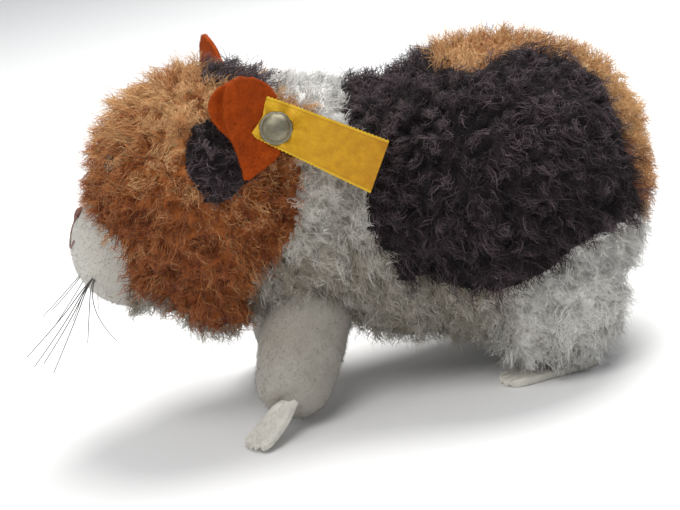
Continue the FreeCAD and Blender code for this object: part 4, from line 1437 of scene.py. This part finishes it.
def add_threads(name, paths, radius, taper=1.0):
    """Threads along lists of points, as one mesh of closed round tubes."""
    curve = bpy.data.curves.new(name, "CURVE")
    curve.dimensions = "3D"
    curve.bevel_depth = radius
    curve.bevel_resolution = 1
    curve.use_fill_caps = True
    for path in paths:
        spline = curve.splines.new("NURBS")
        spline.points.add(len(path) - 1)
        for i, (knot, point) in enumerate(zip(spline.points, path)):
            knot.co = (*point, 1.0)
            knot.radius = 1 + (taper - 1) * i / (len(path) - 1)
        spline.order_u = 3
        spline.use_endpoint_u = True
        spline.resolution_u = 5
    thing = bpy.data.objects.new(name, curve)
    bpy.context.collection.objects.link(thing)
    pick(thing)
    bpy.ops.object.convert(target="MESH")
    return bpy.context.object


def thread_material(name, deep, light, roughness):
    """Twisted thread: slanting bands and fine fibres."""
    material, start, shader = new_material(name)
    bands = {"bands_direction": "DIAGONAL"}
    twist = start.node("ShaderNodeTexWave", bands, Vector=object_place(start), Scale=1400.0, Distortion=2.0)
    fibres = object_noise(start, 3000.0)
    amount = (twist * 0.6 + fibres * 0.6 - 0.1).clamp()
    strand = amount.ramp((0.1, deep), (0.9, light))
    connect(shader, Base_Color=strand, Roughness=roughness, Normal=bumped(start, twist + fibres, 0.0001, 0.8))
    return material


def on_snout(forward, sideways, upward, lift):
    """A place on the snout's outside, from a direction, raised by lift, in the standing toy."""
    sizes = trunk()
    way = Vector((-forward, sideways, upward)).normalized()
    centre = Vector((sizes.snout_x, 0, sizes.snout_z))
    return stance() @ (centre + way * (sizes.snout_radius + lift))


EYE_RADIUS = 2.9 * MM
EYE_SINK = 4.0 * MM  # into the pile, towards the middle of the head
EYE_FLAT = 1.9 * MM  # from its centre, where the glass bulges out of its wire
THREAD_LIFT = -0.75 * MM
NOSE_ROWS = range(-7, 8)
LIP_POINTS = 6


def glass_material():
    """Dark brown glass, clear-coated."""
    material, start, shader = new_material("eye_glass_brown")
    clouds = object_noise(start, 500.0)
    connect(shader, Base_Color=clouds.ramp((0.3, (0.012, 0.007, 0.005)), (0.8, (0.045, 0.022, 0.012))))
    connect(shader, Roughness=0.06, Coat_Weight=1.0, Coat_Roughness=0.03)
    return material


def add_eye(word, material):
    """A glass eye, sunk in the pile and drawn out a little at its front."""
    low, high = (Vector(corner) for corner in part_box(f"eye_{word}"))
    middle = (low + high) / 2
    inward = (stance() @ Vector((trunk().head_x, 0, 0)) - middle).normalized()
    eye = add_ball(middle + inward * EYE_SINK, EYE_RADIUS)
    shade_smooth(eye)
    for corner in eye.data.vertices:
        corner.co += inward * 0.35 * max(0.0, -corner.co.dot(inward) - EYE_FLAT)
    place_mesh(eye, Matrix.Identity(4))
    finish_piece(eye, f"eye_{word}_glass", material, "torso", [f"eye_{word}"])


def nose_row(i):
    """One satin stitch of the nose, which is domed and shorter towards its sides."""
    depth = 0.17 - abs(i) * 0.018
    return [
        on_snout(1.0, i * 0.028, 0.62 + depth * share, THREAD_LIFT + 0.7 * MM * (1 - share * share))
        for share in (-1.0, -0.5, 0.0, 0.5, 1.0)
    ]


def lip(side):
    """One half of the mouth: down from the stem and up again at its end."""
    return [
        on_snout(1.0 - 0.05 * i, side * 0.065 * i, 0.09 - 0.08 * i + 0.018 * i * i, THREAD_LIFT)
        for i in range(LIP_POINTS)
    ]


class TOY_OT_face(bpy.types.Operator):
    """Glass eyes, satin-stitched nose, stitched mouth"""

    bl_idname = "toy.face"
    bl_label = "Face"

    def execute(self, context):
        glass = glass_material()
        for word, _ in SIDES:
            add_eye(word, glass)
        thread = thread_material("face_thread_twist", (0.10, 0.035, 0.03), (0.30, 0.12, 0.10), 0.45)
        nose = add_threads("nose_threads", [nose_row(i) for i in NOSE_ROWS], 0.36 * MM)
        finish_piece(nose, "nose_threads", thread, "torso", ["nose"])
        stem = [on_snout(1.0, 0, 0.45 - 0.09 * i, THREAD_LIFT) for i in range(5)]
        mouth = add_threads("mouth_threads", [stem, *(lip(side) for _, side in SIDES)], 0.28 * MM)
        finish_piece(mouth, "mouth_threads", thread, "torso", ["mouth"])
        return {"FINISHED"}


WHISKER_ENDS = (
    # end of each left whisker and the middle of its bow, in the trunk's axes, in millimetres
    ((-87.0, -20.0, -39.0), (-79.0, -17.5, -31.0)),
    ((-85.0, -22.0, -41.0), (-77.5, -18.0, -31.5)),
    ((-83.0, -18.0, -41.5), (-76.0, -16.0, -31.0)),
    ((-80.0, -24.0, -42.0), (-74.5, -18.5, -30.0)),
    ((-71.5, -20.0, -35.5), (-71.2, -16.5, -29.0)),
    ((-64.0, -22.0, -34.5), (-69.8, -18.0, -29.5)),
)


WHISKER_KNOT = (-70.9, 11.4, -20.6)
WHISKER_ROOT = (3.0, -2.4, 1.6)  # from the knot to the hidden root


def mirrored(place, side):
    """A place on one side of the trunk, from its distance from the middle."""
    return np.array([place[0], side * place[1], place[2]])


def whisker_paths(side):
    """The left fan is as listed, and the right one strays from it."""
    rng = np.random.default_rng(SEEDS["whiskers"] + side)
    paths = []
    for end, middle in WHISKER_ENDS:
        drift = rng.normal(0, 1.0 if side > 0 else 0.0, 3)
        knot = mirrored(WHISKER_KNOT, side) + rng.normal(0, 0.12, 3)
        inside = knot + mirrored(WHISKER_ROOT, side)
        bow = mirrored(middle, -side) + drift * 0.4
        ends = mirrored(end, -side) + drift
        paths.append([stance() @ (Vector(point) * MM) for point in (inside, knot, bow, ends)])
    return paths


class TOY_OT_whiskers(bpy.types.Operator):
    """Fine bristles from one knot on each side of the muzzle"""

    bl_idname = "toy.whiskers"
    bl_label = "Whiskers"

    def execute(self, context):
        material, start, shader = new_material("whisker_bristle")
        shades = object_noise(start, 300.0)
        connect(shader, Base_Color=shades.ramp((0.3, (0.035, 0.032, 0.032)), (0.7, (0.12, 0.11, 0.11))))
        connect(shader, Roughness=0.35)
        for word, side in SIDES:
            name = f"whiskers_{word}_bristles"
            whiskers = add_threads(name, whisker_paths(side), 0.17 * MM, taper=0.6)
            finish_piece(whiskers, name, material, "torso", [f"whiskers_{word}"])
        return {"FINISHED"}


WADDING_SWELL = -2.2 * MM  # the plush's backing takes up this much of the CAD wadding
WADDING = {
    "body_stuffing": "torso",
    "head_stuffing": "torso",
    "haunch_left_stuffing": "torso",
    "haunch_right_stuffing": "torso",
    "front_leg_left_stuffing": "front_leg_left",
    "front_leg_right_stuffing": "front_leg_right",
}


class TOY_OT_inside(bpy.types.Operator):
    """Closing seam and wadding"""

    bl_idname = "toy.inside"
    bl_label = "Seam and wadding"

    def execute(self, context):
        seam = thread_material("seam_thread_twist", (0.45, 0.43, 0.38), (0.80, 0.78, 0.72), 0.6)
        dress_node("closing_seam", seam)
        wadding, start, shader = new_material("wadding")
        wisps = object_noise(start, 700.0, 5.0, 0.7)
        wool = wisps.ramp((0.3, (0.55, 0.54, 0.50)), (0.7, (0.85, 0.84, 0.80)))
        connect(shader, Base_Color=wool, Roughness=0.95, Normal=bumped(start, wisps, 0.0008, 0.8))
        for node, body in WADDING.items():
            lump = softened(node, 1.6 * MM, WADDING_SWELL)
            shade_smooth(lump)
            name = node.replace("_stuffing", "_wadding")
            finish_piece(lump, name, wadding, body, [node])
        return {"FINISHED"}


# ---------------------------------------------------------------- stage


LIGHTS = (
    # name, place, width, watts and colour
    ("key", (0.22, 0.30, 0.80), 0.60, 9.5, (1.0, 0.99, 0.97)),
    ("front", (-0.15, -0.50, 0.80), 0.60, 3.4, (1.0, 0.985, 0.96)),
    ("side", (-0.75, -0.30, 0.40), 0.50, 0.9, (1.0, 0.98, 0.95)),
)
LIGHT_AIM = Vector((0, 0, 0.05))
SKY_COLOUR = (0.93, 0.96, 1.0, 1)
SKY_STRENGTH = 0.46
FLOOR_WIDTH = 4.0
SENSOR_WIDTH = 36.0


def add_floor(stage):
    """A plain pale floor."""
    clear_selection()
    bpy.ops.mesh.primitive_plane_add(size=FLOOR_WIDTH, location=(0, 0, 0))
    floor = bpy.context.object
    floor.name = "floor"
    material, start, shader = new_material("floor_paper")
    paper = tuple(stage.paper)
    mottled = object_noise(start, 90.0).mix(paper, [part * 1.015 for part in paper])
    connect(shader, Base_Color=mottled, Roughness=0.9, Specular_IOR_Level=0.2)
    floor.data.materials.append(material)


def add_lights():
    """Three soft lamps and a pale sky."""
    world = bpy.data.worlds.new("studio")
    world.use_nodes = True
    sky = world.node_tree.nodes["Background"]
    sky.inputs["Color"].default_value = SKY_COLOUR
    sky.inputs["Strength"].default_value = SKY_STRENGTH
    bpy.context.scene.world = world
    for name, place, width, watts, light_colour in LIGHTS:
        data = bpy.data.lights.new(name, "AREA")
        data.shape = "DISK"
        data.size = width
        data.energy = watts
        data.color = light_colour
        lamp = bpy.data.objects.new(name, data)
        lamp.location = place
        lamp.rotation_euler = (LIGHT_AIM - Vector(place)).to_track_quat("-Z", "Y").to_euler()
        bpy.context.collection.objects.link(lamp)


def add_camera(stage):
    """A camera at the toy's left side, placed in the trunk's axes."""
    azimuth, elevation = stage.azimuth, stage.elevation
    level = math.cos(elevation)
    back = Vector((math.sin(azimuth) * level, -math.cos(azimuth) * level, math.sin(elevation)))
    across = Vector((math.cos(azimuth), math.sin(azimuth), 0))
    up = back.cross(across)
    view = Matrix((across, up, back)).transposed().to_4x4()
    view.translation = across * stage.aim_x + up * stage.aim_up + back * stage.distance
    data = bpy.data.cameras.new("camera")
    data.sensor_width = SENSOR_WIDTH
    data.lens = SENSOR_WIDTH * stage.distance / stage.view_width
    data.clip_start, data.clip_end = 0.01, 20.0
    camera = bpy.data.objects.new("camera", data)
    camera.matrix_world = stance() @ view
    bpy.context.collection.objects.link(camera)
    bpy.context.scene.camera = camera


class TOY_OT_stage(bpy.types.Operator):
    """Pale floor, soft lights and camera"""

    bl_idname = "toy.stage"
    bl_label = "Stage"

    def execute(self, context):
        stage = context.scene.toy_stage
        add_floor(stage)
        context.scene.view_settings.view_transform = "Standard"
        add_lights()
        add_camera(stage)
        return {"FINISHED"}


class TOY_PT_panel(bpy.types.Panel):
    """Lists what can be made"""

    bl_idname = "TOY_PT_panel"
    bl_label = "Guinea pig"
    bl_space_type = "VIEW_3D"
    bl_region_type = "UI"
    bl_category = "Guinea pig"

    def draw(self, context):
        for operator in OPERATORS:
            self.layout.operator(operator.bl_idname)


GROUPS = {
    "toy_trunk": TrunkSizes,
    "toy_pile": PileSizes,
    "toy_colours": ToyColours,
    "toy_stage": StageSizes,
}
OPERATORS = (
    TOY_OT_stage,
    TOY_OT_plush,
    TOY_OT_front_legs,
    TOY_OT_paws,
    TOY_OT_ears,
    TOY_OT_badge,
    TOY_OT_face,
    TOY_OT_whiskers,
    TOY_OT_inside,
)


def register():
    for kind in (*GROUPS.values(), *OPERATORS, TOY_PT_panel):
        bpy.utils.register_class(kind)
    for name, group in GROUPS.items():
        setattr(bpy.types.Scene, name, bpy.props.PointerProperty(type=group))


def unregister():
    for name in GROUPS:
        delattr(bpy.types.Scene, name)
    for kind in (TOY_PT_panel, *reversed(OPERATORS), *reversed(GROUPS.values())):
        bpy.utils.unregister_class(kind)


def main():
    register()
    for operator in OPERATORS:
        family, name = operator.bl_idname.split(".")
        getattr(getattr(bpy.ops, family), name)()


if __name__ == "__main__":
    main()
